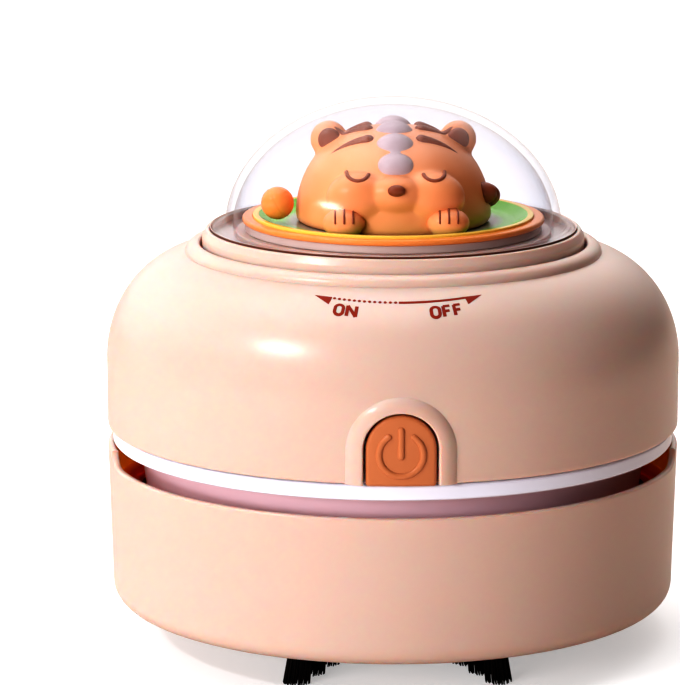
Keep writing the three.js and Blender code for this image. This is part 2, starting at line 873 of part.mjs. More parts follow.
// Switch places, which follow the button
const flange_front_y = -body_radius + flange_setback;
const flange_back_y = flange_front_y + flange_thickness;
const switch_front_y = -body_radius + switch_setback;
const switch_board_z = cover_top_z + fit_gap;
const switch_z = switch_board_z + board_thickness + fit_gap;
const plunger_z = switch_z + switch_height / 2;

function bar_along_y(radius, y0, y1, z) {
  const geometry = new THREE.CylinderGeometry(radius, radius, y1 - y0, around_screw);
  return solid(geometry.translate(0, (y0 + y1) / 2, z));
}

function switch_board() {
  const half = switch_width / 2 + switch_board_margin;
  const back = switch_front_y + switch_depth + fit_gap;
  return block([-half, half], [switch_front_y - fit_gap, back],
    [switch_board_z, switch_board_z + board_thickness]);
}

function switch_body() {
  const half = switch_width / 2;
  const box = block([-half, half], [switch_front_y, switch_front_y + switch_depth],
    [switch_z, switch_z + switch_height]);
  const bore = bar_along_y(plunger_radius + fit_gap, switch_front_y - overrun,
    switch_front_y + plunger_bore + button_travel, plunger_z);
  return cut(box, bore);
}

function switch_plunger() {
  return bar_along_y(plunger_radius, flange_back_y + fit_gap,
    switch_front_y + plunger_bore - fit_gap, plunger_z);
}

function button_cap() {
  const outer = body_radius + button_proud;
  const face = arch(button_width / 2, button_height, seam_z, -outer - overrun, 0)
    .intersect(band(outer - button_thickness, outer, front_angle - button_band_angle,
      front_angle + button_band_angle, seam_z - overrun, seam_z + button_height + overrun));
  const flange = block([-flange_half_width, flange_half_width], [flange_front_y, flange_back_y],
    [seam_z + flange_bottom, seam_z + flange_top]);
  const stem = block([-stem_half_width, stem_half_width],
    [-outer + button_thickness / 2, flange_back_y],
    [seam_z + flange_bottom, seam_z + flange_bottom + stem_height]);
  return join(face, flange, stem);
}

// Well sizes that the dome cap shares
const cap_radius = well_radius - cap_gap;
const lug_z = well_floor_z + lug_rise;
const lug_angles = Array.from({ length: lug_count }, (_, i) => lug_first_angle + (360 * i) / lug_count);

// The screw bosses run up into the shoulder, to just under its outer face, and stay out of the well.
const boss_low_z = cover_top_z + fit_gap;
const boss_reach_share = (post_circle_radius + boss_radius - shoulder_centre) / shoulder_reach;
const boss_shoulder_z = shoulder_z + shoulder_rise * Math.sqrt(1 - boss_reach_share ** 2) - boss_top_inset;
const boss_top_z = Math.min(boss_shoulder_z, well_floor_z - well_floor / 2);

function shell_lathe() {
  const inner_reach = shoulder_reach - body_wall;
  const inner_rise = shoulder_rise - body_wall;
  const lip_foot = shoulder_centre + lip_foot_reach;
  const foot_angle = Math.acos(lip_foot_reach / shoulder_reach) / degree;
  const neck_outer = well_radius + neck_wall;
  const neck_angle = Math.acos((neck_outer - shoulder_centre) / inner_reach) / degree;
  return turned([
    [0, well_floor_z - well_floor],
    [neck_outer, well_floor_z - well_floor],
    ...arc(shoulder_centre, shoulder_z, inner_reach, inner_rise, neck_angle, 0, shoulder_steps - 2),
    [shell_inner_radius, seam_z],
    [body_radius - fit_gap, seam_z],
    [body_radius, seam_z + fit_gap],
    ...arc(shoulder_centre, shoulder_z, shoulder_reach, shoulder_rise, 0, foot_angle, shoulder_steps),
    [lip_foot - lip_round_reach, shoulder_top_z + lip_height / 2],
    [well_radius + 2 * lip_round_reach, lip_z - lip_round_reach / 2],
    [well_radius + lip_round_reach, lip_z],
    [well_radius, lip_z - lip_round_reach],
    [well_radius, well_floor_z],
    [0, well_floor_z],
  ], around_body);
}

function upper_shell() {
  const outer = body_radius + bezel_proud;
  const opening_half = button_width / 2 + fit_gap;
  const opening_height = button_height + fit_gap;
  const bezel_half = opening_half + bezel_margin;
  const bezel = arch(bezel_half, opening_height + bezel_top_margin, seam_z, -outer - overrun, 0)
    .intersect(band(shell_inner_radius + fit_gap, outer, front_angle - button_band_angle,
      front_angle + button_band_angle, seam_z - overrun, shoulder_z + shoulder_rise));
  const bosses = post_places.map(([x, y]) =>
    cylinder(boss_radius, boss_low_z, boss_top_z, around_small, x, y));
  const lugs = lug_angles.map((angle) =>
    band(cap_radius - lug_reach, well_radius + fit_gap, angle - lug_angle / 2, angle + lug_angle / 2,
      lug_z, lug_z + lug_height));
  const opening = arch(opening_half, opening_height + overrun, seam_z - overrun, -outer - overrun,
    -shell_inner_radius + 2 * overrun);
  const port = socket_bar(socket_width + 2 * fit_gap, socket_height + 2 * fit_gap, socket_corner + fit_gap,
    shell_inner_radius - 2 * overrun, body_radius + overrun);
  const pilots = post_places.map((place) =>
    screw_hole(place, boss_low_z - overrun, ring_z + screw_head_height + screw_length + fit_gap));
  return cut(join(shell_lathe(), bezel, ...bosses, ...lugs), opening, port, ...pilots);
}

// Dome cap levels
const cap_low_z = well_floor_z + fit_gap;
const cap_rim_inner_radius = cap_radius - cap_rim_width;
const dome_flange_radius = cap_rim_inner_radius - fit_gap;
const dome_radius = dome_flange_radius - dome_flange_reach;
const cap_deck_radius = dome_radius - dome_wall - cap_deck_gap;
const cap_deck_z = cap_low_z + cap_height;
const cap_under_z = cap_deck_z - cap_deck_height;
const cap_ledge_z = cap_under_z + cap_ledge_height;
const cap_top_z = cap_deck_z + cap_rim_rise;
const dome_low_z = cap_ledge_z + fit_gap;
const dome_base_z = dome_low_z + dome_flange;

function cap_base() {
  const skirt_inner = cap_radius - cap_skirt_wall;
  const body = turned([
    [0, cap_under_z],
    [skirt_inner, cap_under_z],
    [skirt_inner, cap_low_z],
    [cap_radius, cap_low_z],
    [cap_radius, cap_top_z - cap_edge_height],
    [cap_rim_inner_radius + cap_edge_width, cap_top_z - cap_chamfer],
    [cap_rim_inner_radius + cap_edge_width / 2, cap_top_z],
    [cap_rim_inner_radius, cap_top_z],
    [cap_rim_inner_radius, cap_ledge_z],
    [cap_deck_radius, cap_ledge_z],
    [cap_deck_radius, cap_deck_z],
    [0, cap_deck_z],
  ], around_body);
  const groove_inner = cap_radius - lug_reach - fit_gap;
  const half = lug_angle / 2 + lug_play_angle;
  const grooves = lug_angles.flatMap((angle) => [
    band(groove_inner, cap_radius + overrun, angle - cap_turn - half, angle + half,
      lug_z - fit_gap, lug_z + lug_height + fit_gap),
    band(groove_inner, cap_radius + overrun, angle - cap_turn - half, angle - cap_turn + half,
      cap_low_z - overrun, lug_z),
  ]);
  return cut(body, ...grooves);
}

function dome() {
  const inner_radius = dome_radius - dome_wall;
  const step_z = dome_base_z + dome_step_height;
  const outer = arc(0, dome_base_z, dome_radius, dome_height, 2, 90, dome_steps);
  const inner = arc(0, dome_base_z, inner_radius, dome_height - dome_wall, 90, 0, dome_steps);
  outer[dome_steps][0] = 0;
  inner[0][0] = 0;
  return turned([
    ...inner,
    [inner_radius, dome_low_z],
    [dome_flange_radius, dome_low_z],
    [dome_flange_radius, dome_base_z],
    [dome_radius + dome_step_reach, dome_base_z],
    [dome_radius + dome_step_reach, step_z],
    [dome_radius, step_z],
    ...outer,
  ], around_dome);
}

// Tray sizes
const tray_radius = cap_deck_radius - tray_inset;
const tray_z = cap_deck_z + fit_gap;
const dish_z = tray_z + tray_base_height + fit_gap;
const dish_radius = tray_radius - tray_rim_width - fit_gap;
const dish_floor_z = dish_z + dish_floor;
const dish_floor_radius = dish_radius - dish_edge - dish_slope;
const figure_z = dish_floor_z + fit_gap;
const figure_radius = tray_radius - figure_margin;
const ball_x = -(figure_radius + ball_spacing + ball_radius);

function tray_base() {
  return cylinder(tray_radius - tray_base_inset, tray_z, tray_z + tray_base_height, around_dome);
}

function tray_rim() {
  const inner = tray_radius - tray_rim_width;
  const top = dish_z + tray_rim_height;
  return turned([
    [inner, dish_z],
    [tray_radius - tray_rim_round, dish_z],
    [tray_radius, dish_z + tray_rim_round],
    [tray_radius, top - tray_rim_round],
    [tray_radius - tray_rim_round, top],
    [inner, top],
  ], around_dome);
}

function tray_dish() {
  const top = dish_floor_z + dish_rise;
  return turned([
    [0, dish_z],
    [dish_radius, dish_z],
    [dish_radius, top],
    [dish_radius - dish_edge, top],
    [dish_floor_radius, dish_floor_z],
    [0, dish_floor_z],
  ], around_dome);
}

function figure() {
  const z = figure_z;
  const rise = figure_height - figure_foot_inset;
  const swell = arc(0, z + figure_foot_inset, figure_radius, rise, 0, 90, figure_steps)
    .slice(1, figure_steps)
    .map(([radius, height]) => [Math.min(radius * figure_swell_share, figure_radius), height]);
  const body = turned([
    [0, z],
    [figure_radius - figure_foot_inset, z],
    [figure_radius, z + figure_foot_inset],
    ...swell,
    [0, z + figure_height],
  ], around_small).scale([1, figure_depth_share, 1]);
  const crest = ball(1, 0, 0, z + crest_lift,
    [crest_width / 2, figure_radius - crest_inset, crest_height - crest_lift]);
  const pairs = [-1, 1].flatMap((side) => [
    ball(ear_radius, side * (figure_radius - ear_inset), ear_back, z + ear_lift),
    ball(1, ...polar(figure_radius + paw_overhang, front_angle + side * paw_angle), z + paw_lift,
      [paw_radius, paw_radius, paw_lift]),
  ]);
  const tail = ball(1, figure_radius + tail_overhang - tail_radius, tail_back, z + tail_lift / 2,
    [tail_radius, tail_depth / 2, tail_lift / 2]);
  return join(body, crest, ...pairs, tail);
}

// The cup and its brushes stand on the ground.
const cup_group = new THREE.Group();
add(cup_group, "dust_cup", dust_cup(), peach);
add(cup_group, "suction_nozzle", suction_nozzle(), peach);
strip_places.forEach((angle, i) => add(cup_group, `brush_strip_${i + 1}`, brush_strip(angle), black));
add(cup_group, "cup_seal_ring", seal_ring(), grey_rubber);

// The housing lifts off the cup as one unit.
const housing = new THREE.Group();
add(housing, "motor_deck", motor_deck(), white);
add(housing, "filter_frame", filter_frame(), white);
add(housing, "filter_cloth", filter_cloth(), cloth);
add(housing, "fan_cover", fan_cover(), white);
add(housing, "upper_shell", upper_shell(), peach);
post_places.forEach(([x, y], i) =>
  add(housing, `shell_screw_${i + 1}`, cross_screw(screw_length), steel, [x, y, ring_z]));

// Motor and wheel
add(housing, "motor_can", motor_can(), steel);
add(housing, "motor_end_cap", motor_cap(), black);
add(housing, "motor_strap", motor_strap(), white);
strap_post_places.forEach(([x, y], i) => {
  const screw = add(housing, `strap_screw_${i + 1}`, cross_screw(strap_screw_length), steel,
    [x, y, motor_top_z + strap_thickness + 2 * fit_gap + screw_head_height]);
  screw.rotation.x = Math.PI;
});
const rotor = new THREE.Group();
add(rotor, "impeller", impeller(), white);
add(rotor, "motor_shaft", motor_shaft(), steel);
housing.add(rotor);

// Power supply
add(housing, "battery_cell", battery_cell(), cell_blue);
add(housing, "cell_holder", cell_holder(), black);
add(housing, "cell_contact_left", cell_contact(-1), nickel);
add(housing, "cell_contact_right", cell_contact(1), nickel);
add(housing, "charge_board", charge_board(), board_green);
add(housing, "charge_chip", board_component(chip_width, chip_height, -chip_place), black);
add(housing, "charge_coil", board_component(coil_width, coil_height, chip_place), grey_rubber);
add(housing, "usb_socket", usb_socket(), steel);
add(housing, "switch_board", switch_board(), board_green);
add(housing, "switch_body", switch_body(), black);

const button_group = new THREE.Group();
add(button_group, "power_button", button_cap(), orange);
add(button_group, "switch_plunger", switch_plunger(), brass);
housing.add(button_group);

// The cap turns in the neck and carries the dome and the display.
const cap_group = new THREE.Group();
add(cap_group, "cap_base", cap_base(), peach);
add(cap_group, "clear_dome", dome(), clear);
add(cap_group, "tray_base", tray_base(), tray_brown);
add(cap_group, "tray_rim", tray_rim(), tray_orange);
add(cap_group, "tray_dish", tray_dish(), tray_green);
add(cap_group, "tiger_figure", figure(), cub_orange);
add(cap_group, "toy_ball", ball(ball_radius, ball_x, ball_y, figure_z + ball_radius), tray_orange);
housing.add(cap_group);

part.add(cup_group, housing);

export default part;
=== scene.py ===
# Looks of a desktop mini vacuum cleaner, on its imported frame. Sizes are in millimetres until a mesh is made.
import math

import bmesh
import bpy
from mathutils import Matrix, Vector
from mathutils.bvhtree import BVHTree


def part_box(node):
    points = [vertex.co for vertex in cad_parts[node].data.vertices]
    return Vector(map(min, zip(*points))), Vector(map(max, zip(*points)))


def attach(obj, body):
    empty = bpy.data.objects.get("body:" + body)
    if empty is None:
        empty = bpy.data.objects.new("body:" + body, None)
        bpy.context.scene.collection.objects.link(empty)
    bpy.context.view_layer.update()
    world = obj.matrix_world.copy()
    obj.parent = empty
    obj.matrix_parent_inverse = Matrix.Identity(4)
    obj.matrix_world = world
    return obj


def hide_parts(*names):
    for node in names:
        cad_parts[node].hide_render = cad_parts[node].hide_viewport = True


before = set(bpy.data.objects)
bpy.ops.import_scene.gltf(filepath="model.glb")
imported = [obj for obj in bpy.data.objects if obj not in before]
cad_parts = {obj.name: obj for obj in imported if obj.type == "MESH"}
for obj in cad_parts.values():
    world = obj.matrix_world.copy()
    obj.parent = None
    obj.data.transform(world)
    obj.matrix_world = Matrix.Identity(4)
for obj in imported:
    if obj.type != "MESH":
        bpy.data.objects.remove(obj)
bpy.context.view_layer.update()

MM = 0.001


def box_mm(name):
    """The lowest and highest corner of a node of the frame, in millimetres."""
    low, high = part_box(name)
    return low / MM, high / MM


# Levels and radii that the frame gives
shell_low, shell_high = box_mm("upper_shell")
cup_low, cup_high = box_mm("dust_cup")
deck_low, deck_high = box_mm("motor_deck")
nozzle_low, nozzle_high = box_mm("suction_nozzle")
seal_low, seal_high = box_mm("cup_seal_ring")
filter_low, filter_high = box_mm("filter_frame")
cloth_low, cloth_high = box_mm("filter_cloth")
button_low = box_mm("power_button")[0]
cap_low, cap_high = box_mm("cap_base")
dome_low, dome_high = box_mm("clear_dome")
base_low, base_high = box_mm("tray_base")
rim_low, rim_high = box_mm("tray_rim")
dish_low, dish_high = box_mm("tray_dish")
figure_low = box_mm("tiger_figure")[0]
ball_low, ball_high = box_mm("toy_ball")
socket_low, socket_high = box_mm("usb_socket")

SEAM = shell_low.z
BODY_RADIUS = cup_high.x
BODY_WALL = 1.6
FIT = 0.3
FRONT = -90.0
BACK = 90.0
SHOULDER_Z = SEAM + 10.0
SHOULDER_CENTRE = 29.0
SHOULDER_REACH = BODY_RADIUS - SHOULDER_CENTRE
SHOULDER_RISE = 16.0
WELL_RADIUS = 28.95
SLOT_HALF_ANGLE = 75.0
ROUND = 240
# The four screw posts of the housing, and the three bayonet lugs that hold the cap
POST_REACH = 34.5
POST_ANGLES = (26.5, 153.5, 230.4, 309.6)
LUG_ANGLES = (30, 150, 270)
LUG_HEIGHT = 0.9


def linear(code):
    """A linear colour with alpha from an sRGB hex code."""
    shares = [int(code[i:i + 2], 16) / 255 for i in (1, 3, 5)]
    light = [s / 12.92 if s <= 0.04045 else ((s + 0.055) / 1.055) ** 2.4 for s in shares]
    return (*light, 1.0)


def add_node(tree, kind, inputs=None, **settings):
    """Adds a node, sets its properties, and sets or links its inputs by name or number."""
    made = tree.nodes.new(kind)
    for name, value in settings.items():
        setattr(made, name, value)
    for name, value in (inputs or {}).items():
        if isinstance(value, bpy.types.NodeSocket):
            tree.links.new(value, made.inputs[name])
        else:
            made.inputs[name].default_value = value
    return made


def new_material(name):
    """An empty material with its tree and its output node."""
    material = bpy.data.materials.new(name)
    material.use_nodes = True
    material.node_tree.nodes.clear()
    output = add_node(material.node_tree, "ShaderNodeOutputMaterial")
    return material, material.node_tree, output


def noise(tree, size, detail, distortion=0.0):
    """Noise on the object, with lumps of a real size in millimetres."""
    return add_node(tree, "ShaderNodeTexNoise", {
        "Vector": add_node(tree, "ShaderNodeTexCoord").outputs["Object"],
        "Scale": 1 / (size * MM),
        "Detail": detail,
        "Distortion": distortion,
    }).outputs["Fac"]


def bumped(tree, height, depth):
    """A normal from a height between 0 and 1, with a real depth in millimetres."""
    return add_node(tree, "ShaderNodeBump", {"Height": height, "Distance": depth * MM}).outputs["Normal"]


def grain_bump(tree, size, depth):
    """A fine moulded or cast grain as a normal: size and depth are real, in millimetres."""
    return bumped(tree, noise(tree, size, 2.0), depth)


def spread(tree, value, low, high, from_low=0.0, from_high=1.0, **settings):
    """A value brought from one range into another."""
    return add_node(tree, "ShaderNodeMapRange", {
        "Value": value, "From Min": from_low, "From Max": from_high, "To Min": low, "To Max": high,
    }, **settings).outputs["Result"]


def varied(tree, low, high, size):
    """A value that drifts between low and high over patches of a real size in millimetres."""
    return spread(tree, noise(tree, size, 3.0), low, high, 0.3, 0.7)


def mixed(tree, share, colour, other):
    """A colour between two colours, each an sRGB hex code or a socket."""
    ends = [linear(end) if isinstance(end, str) else end for end in (colour, other)]
    return add_node(tree, "ShaderNodeMix", {"Factor": share, "A": ends[0], "B": ends[1]},
                    data_type="RGBA").outputs["Result"]


def tinted(tree, colour, other, size):
    """A colour that drifts towards another over patches of a real size in millimetres."""
    return mixed(tree, varied(tree, 0.0, 1.0, size), colour, other)


def principled(name, sockets_of):
    """A material with one Principled surface, whose inputs sockets_of gives for the material's tree."""
    material, tree, output = new_material(name)
    shader = add_node(tree, "ShaderNodeBsdfPrincipled", sockets_of(tree))
    tree.links.new(shader.outputs["BSDF"], output.inputs["Surface"])
    return material


def plastic(name, colour, other, roughness, grain, depth, patch=18.0, ior=1.54, **sockets):
    """A moulded plastic: an even colour with a slight drift, a fine grain and uneven gloss."""
    return principled(name, lambda tree: {
        "Base Color": tinted(tree, colour, other, patch),
        "Roughness": varied(tree, roughness * 0.985, roughness * 1.015, 6.0),
        "Normal": grain_bump(tree, grain, depth),
        "IOR": ior,
        **sockets,
    })


def metal(name, colour, other, roughness):
    """A plated or bare metal with a fine tumbled grain."""
    return principled(name, lambda tree: {
        "Base Color": tinted(tree, colour, other, 2.0),
        "Metallic": 1.0,
        "Roughness": varied(tree, roughness * 0.8, roughness * 1.3, 1.0),
        "Normal": grain_bump(tree, 0.2, 0.003),
    })


# How far light runs inside thin shell plastic: red furthest, so thin walls and shaded sides turn warm
GLOW = {
    "Subsurface Weight": 0.8,
    "Subsurface Radius": (1.0, 0.3, 0.16),
    "Subsurface Scale": 1.8 * MM,
}
# A longer subsurface reach, used only on the lip's inner faces for their partly painted glow
THIN_GLOW = {
    "Subsurface Weight": 0.9,
    "Subsurface Radius": (1.0, 0.65, 0.3),
    "Subsurface Scale": 4.0 * MM,
}
SATIN = {"grain": 0.25, "depth": 0.0015, "patch": 30.0}
# Satin moulded ABS, the warm peach of the shells, with a soft broad sheen and barely seen grain
peach_abs = plastic("peach_abs", "#CFB8AF", "#CEB6AC", 0.28, **SATIN, **GLOW)
# The same ABS in a cooler rose, as the filter cylinder shows inside the slot
rose_abs = plastic("rose_abs", "#E6C6D1", "#E3C3CE", 0.3, **SATIN)
# The inside of the cup's thin lip: light from outside really runs through the wall in the subsurface, and a
# warmer orange base than the peach shell paints more of that glow on these faces only
lip_glow_painted = plastic("lip_glow_painted", "#E2B08E", "#DEAA87", 0.36, **SATIN, **THIN_GLOW)
# Dark brown for the thin ring between the dome's flange and the collar: a painted shadow for the gap there,
# dull and soft
painted_shadow_brown = plastic("painted_shadow_brown", "#5A3226", "#613A2C", 0.5, grain=0.2, depth=0.003, patch=3.0, ior=1.5)
# Glossy white ABS, slightly blue, that mirrors the lamps in the ring
white_abs = plastic("white_abs", "#E6E9FA", "#E3E6F7", 0.2, grain=0.3, depth=0.0008)
# Satin orange ABS of the button, a little deeper in its patches
orange_abs = plastic("orange_abs", "#BD7851", "#BA744D", 0.36, grain=0.15, depth=0.002)
# Matt black ABS of the brush bars and switch, with a visible spark-eroded grain
black_abs = plastic("black_abs", "#101113", "#17181A", 0.55, grain=0.2, depth=0.006)
# Black nylon bristle, a waxy dark thread
nylon_bristle = plastic("nylon_bristle", "#060607", "#0C0C0D", 0.6, grain=0.1, depth=0.002, ior=1.53)
# Moulded nitrile rubber of the seal, grey and dull
nitrile_rubber = plastic("nitrile_rubber", "#8B8D90", "#7E8083", 0.75, grain=0.3, depth=0.008, ior=1.52)
# Zinc-plated steel of the screws, the motor can and the socket, bright with a fine grain
plated_steel = metal("plated_steel", "#C3C6CA", "#AEB2B8", 0.28)
# Turned brass of the switch plunger
turned_brass = metal("turned_brass", "#D3B06A", "#C7A25B", 0.3)
# Nickel strip of the cell contacts, satin from rolling
rolled_nickel = metal("rolled_nickel", "#CBC8BF", "#BDB9AE", 0.38)
# Solder-masked fibreglass board, a deep green gloss with a faint weave
fr4_board = plastic("fr4_board", "#1E6B45", "#185C3A", 0.35, grain=0.5, depth=0.006, ior=1.55)
# Shrink sleeve of the cell, glossy blue film
pvc_sleeve = plastic("pvc_sleeve", "#3C78B4", "#346CA6", 0.3, grain=2.5, depth=0.02, ior=1.53)
# Smoky brown polystyrene under the tray, smooth and slightly see-through to the eye
smoky_styrene = plastic("smoky_styrene", "#D8C3BB", "#D0B9B0", 0.16, grain=0.4, depth=0.001, ior=1.59)
# Glossy sprayed enamel of the tray rim, dish and ball, with soft orange peel
orange_enamel = plastic("orange_enamel", "#FFA45E", "#FC9A54", 0.2, grain=1.2, depth=0.006, ior=1.5)
yellow_enamel = plastic("yellow_enamel", "#FAD568", "#F6CD60", 0.2, grain=1.2, depth=0.006, ior=1.5)
# Rotocast vinyl of the figure, hand sprayed, with a soft sheen
SPRAYED = {"grain": 0.6, "depth": 0.006, "ior": 1.5}
vinyl_orange = plastic("vinyl_orange", "#F9A97A", "#F39F6E", 0.36, patch=6.0, **SPRAYED)
vinyl_brown = plastic("vinyl_brown", "#9C5A40", "#8C4C34", 0.4, patch=4.0, **SPRAYED)
vinyl_lavender = plastic("vinyl_lavender", "#CDB9BC", "#BBA5AA", 0.4, patch=4.0, **SPRAYED)
# Pad-printed ink, a dry dark red brown
pad_ink = plastic("pad_ink", "#902C16", "#862812", 0.65, grain=0.2, depth=0.001, patch=3.0, ior=1.35)


def dish_enamel():
    """Glossy green enamel on the dish wall, worn to a paler grey green on the floor."""
    def sockets(tree):
        place = add_node(tree, "ShaderNodeTexCoord").outputs["Object"]
        flat = add_node(tree, "ShaderNodeVectorMath", {0: place, 1: (1.0, 1.0, 0.0)}, operation="MULTIPLY")
        reach = add_node(tree, "ShaderNodeVectorMath", {0: flat.outputs["Vector"]}, operation="LENGTH")
        wall_share = spread(tree, reach.outputs["Value"], 0.0, 1.0, 15.2 * MM, 16.6 * MM)
        return {
            "Base Color": mixed(tree, wall_share, "#A8A89A", tinted(tree, "#82D040", "#76C638", 5.0)),
            "Roughness": 0.22,
            "IOR": 1.5,
            "Normal": grain_bump(tree, 1.2, 0.006),
        }
    return principled("dish_enamel", sockets)


def clear_acrylic():
    """Polished clear acrylic: see-through, a little blue and mirror bright where it is seen edge on."""
    material, tree, output = new_material("clear_acrylic")
    normal = grain_bump(tree, 9.0, 0.01)
    slant = add_node(tree, "ShaderNodeLayerWeight", {"Blend": 0.5, "Normal": normal}).outputs["Facing"]
    tint = mixed(tree, slant, "#FCFCFD", "#F3F4F8")
    through = add_node(tree, "ShaderNodeBsdfTransparent", {"Color": tint})
    gloss = add_node(tree, "ShaderNodeBsdfGlossy", {
        "Color": linear("#FFFFFF"), "Roughness": 0.15, "Normal": normal})
    steep = add_node(tree, "ShaderNodeMath", {0: slant, 1: 5.0}, operation="POWER").outputs["Value"]
    both = add_node(tree, "ShaderNodeMixShader", {
        0: spread(tree, steep, 0.012, 0.65), 1: through.outputs["BSDF"], 2: gloss.outputs["BSDF"]})
    tree.links.new(both.outputs["Shader"], output.inputs["Surface"])
    return material


def felt_cloth():
    """White needle-felt of the filter: matt, with fine matted fibres."""
    def sockets(tree):
        fibres = noise(tree, 0.6, 6.0, 2.5)
        return {
            "Base Color": mixed(tree, fibres, "#DEDBD2", "#F6F4EE"),
            "Roughness": 0.95,
            "Sheen Weight": 0.3,
            "Normal": bumped(tree, fibres, 0.15),
        }
    return principled("felt_cloth", sockets)


dish_green = dish_enamel()
acrylic = clear_acrylic()
felt = felt_cloth()


def placed(name, data):
    """A new object in the scene for a mesh, a lamp or a camera."""
    thing = bpy.data.objects.new(name, data)
    bpy.context.collection.objects.link(thing)
    return thing


def make_piece(name, verts, faces, material, smooth_angle):
    """A closed mesh from points in millimetres, its faces turned out and shaded smooth up to an angle."""
    mesh = bpy.data.meshes.new(name)
    mesh.from_pydata([Vector(v) * MM for v in verts], [], faces)
    mesh.materials.append(material)
    piece = placed(name, mesh)
    face_out(mesh)
    shade(piece, smooth_angle)
    return piece


def face_out(mesh):
    """Turns a closed mesh's faces out."""
    work = bmesh.new()
    work.from_mesh(mesh)
    if work.calc_volume(signed=True) < 0:
        bmesh.ops.reverse_faces(work, faces=work.faces)
    work.to_mesh(mesh)
    work.free()


def shade(piece, smooth_angle=35.0):
    """Shades a piece smooth, with sharp edges above an angle."""
    piece.data.shade_smooth()
    piece.data.set_sharp_from_angle(angle=math.radians(smooth_angle))


def baked(piece, smooth_angle=35.0):
    """Puts the result of a piece's modifiers into its mesh."""
    bpy.context.view_layer.update()
    evaluated = piece.evaluated_get(bpy.context.evaluated_depsgraph_get())
    mesh = bpy.data.meshes.new_from_object(evaluated)
    mesh.name = piece.name
    piece.modifiers.clear()
    piece.data = mesh
    shade(piece, smooth_angle)
    return piece


def merge(pieces):
    """Joins pieces into the first, with the materials that their faces use."""
    whole = pieces[0]
    work = bmesh.new()
    slots = []
    for piece in pieces:
        start = len(work.faces)
        work.from_mesh(piece.data)
        work.faces.ensure_lookup_table()
        for face in work.faces[start:]:
            material = piece.data.materials[face.material_index]
            if material not in slots:
                slots.append(material)
            face.material_index = slots.index(material)
    whole.data.materials.clear()
    for material in slots:
        whole.data.materials.append(material)
    work.to_mesh(whole.data)
    work.free()
    for piece in pieces[1:]:
        bpy.data.objects.remove(piece)
    return whole


def cut(piece, *cutters, operation="DIFFERENCE", smooth_angle=35.0):
    """Cuts closed meshes out of a piece, or melts them onto it with UNION."""
    for cutter in cutters:
        tool = piece.modifiers.new("cut", "BOOLEAN")
        tool.operation = operation
        tool.solver = "MANIFOLD"
        tool.object = cutter
    baked(piece, smooth_angle)
    for cutter in cutters:
        bpy.data.objects.remove(cutter)


def paint(piece, material, rule):
    """A second material on the faces that a rule picks by their distance from the axis and their height."""
    piece.data.materials.append(material)
    for face in piece.data.polygons:
        centre = face.center / MM
        if rule(math.hypot(centre.x, centre.y), centre.z):
            face.material_index = 1


def shift(piece, x, y, z=0.0):
    """Moves a piece's mesh by millimetres."""
    piece.data.transform(Matrix.Translation(Vector((x, y, z)) * MM))
    return piece


def settle(piece, body, slot, *nodes):
    """Lets a piece ride on a body and stand for nodes, which it hides. The slot is not used."""
    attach(piece, body)
    if nodes:
        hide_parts(*nodes)


def settle_joined(pieces, *places, smooth_angle=35.0):
    """Joins pieces into the first, shades the whole and settles it."""
    whole = merge(pieces)
    shade(whole, smooth_angle)
    settle(whole, *places)


def polar(radius, angle, z=0.0):
    """A point at a distance from the Z axis, at an angle in degrees from +X."""
    return (radius * math.cos(math.radians(angle)), radius * math.sin(math.radians(angle)), z)


def arc(cx, cy, reach, rise, start, end, steps):
    """Points along part of an ellipse, angles in degrees."""
    points = []
    for i in range(steps + 1):
        angle = math.radians(start + (end - start) * i / steps)
        points.append((cx + reach * math.cos(angle), cy + rise * math.sin(angle)))
    return points


def filleted(corners, step=12.0, support=0.12):
    """Rounds a closed outline's corners (x, y, radius) with arcs, and keeps the flats flat beside them."""
    points = []
    count = len(corners)
    for i, corner in enumerate(corners):
        here = Vector(corner[:2])
        radius = corner[2] if len(corner) > 2 else 0.0
        if radius <= 0:
            points.append(tuple(here))
            continue
        before = Vector(corners[i - 1][:2]) - here
        after = Vector(corners[(i + 1) % count][:2]) - here
        half = before.angle(after) / 2
        reach = min(radius / math.tan(half), before.length * 0.49, after.length * 0.49)
        radius = reach * math.tan(half)
        before_unit = before.normalized()
        after_unit = after.normalized()
        centre = here + (before_unit + after_unit).normalized() * radius / math.sin(half)
        first = here + before_unit * reach - centre
        last = here + after_unit * reach - centre
        turn = first.angle(last)
        side = 1 if first.x * last.y - first.y * last.x > 0 else -1
        steps = max(2, round(math.degrees(turn) / step))
        if before.length > 2 * (reach + support):
            points.append(tuple(here + before_unit * (reach + support)))
        for k in range(steps + 1):
            angle = side * turn * k / steps
            turned = Vector((
                first.x * math.cos(angle) - first.y * math.sin(angle),
                first.x * math.sin(angle) + first.y * math.cos(angle)))
            points.append(tuple(centre + turned))
        if after.length > 2 * (reach + support):
            points.append(tuple(here + after_unit * (reach + support)))
    return points


def lathe(name, profile, material, segments=ROUND, angles=None, smooth_angle=35.0):
    """Turns an outline of (radius, height) about Z. profile is the outline, or gives it for an angle."""
    angles = angles or [360.0 * i / segments for i in range(segments)]
    outline_at = profile if callable(profile) else (lambda angle: profile)
    outlines = [outline_at(angle) for angle in angles]
    count = len(outlines[0])
    verts = []
    index = []
    for k in range(count):
        if abs(outlines[0][k][0]) < 1e-6:
            index.append([len(verts)] * len(angles))
            verts.append((0.0, 0.0, outlines[0][k][1]))
            continue
        index.append([len(verts) + j for j in range(len(angles))])
        for angle, outline in zip(angles, outlines):
            verts.append(polar(outline[k][0], angle, outline[k][1]))
    faces = []
    for k in range(count):
        here = index[k]
        there = index[(k + 1) % count]
        for j in range(len(angles)):
            n = (j + 1) % len(angles)
            ring = [here[j], here[n], there[n], there[j]]
            face = [v for i, v in enumerate(ring) if v not in ring[:i]]
            if len(face) > 2:
                faces.append(face)
    return make_piece(name, verts, faces, material, smooth_angle)


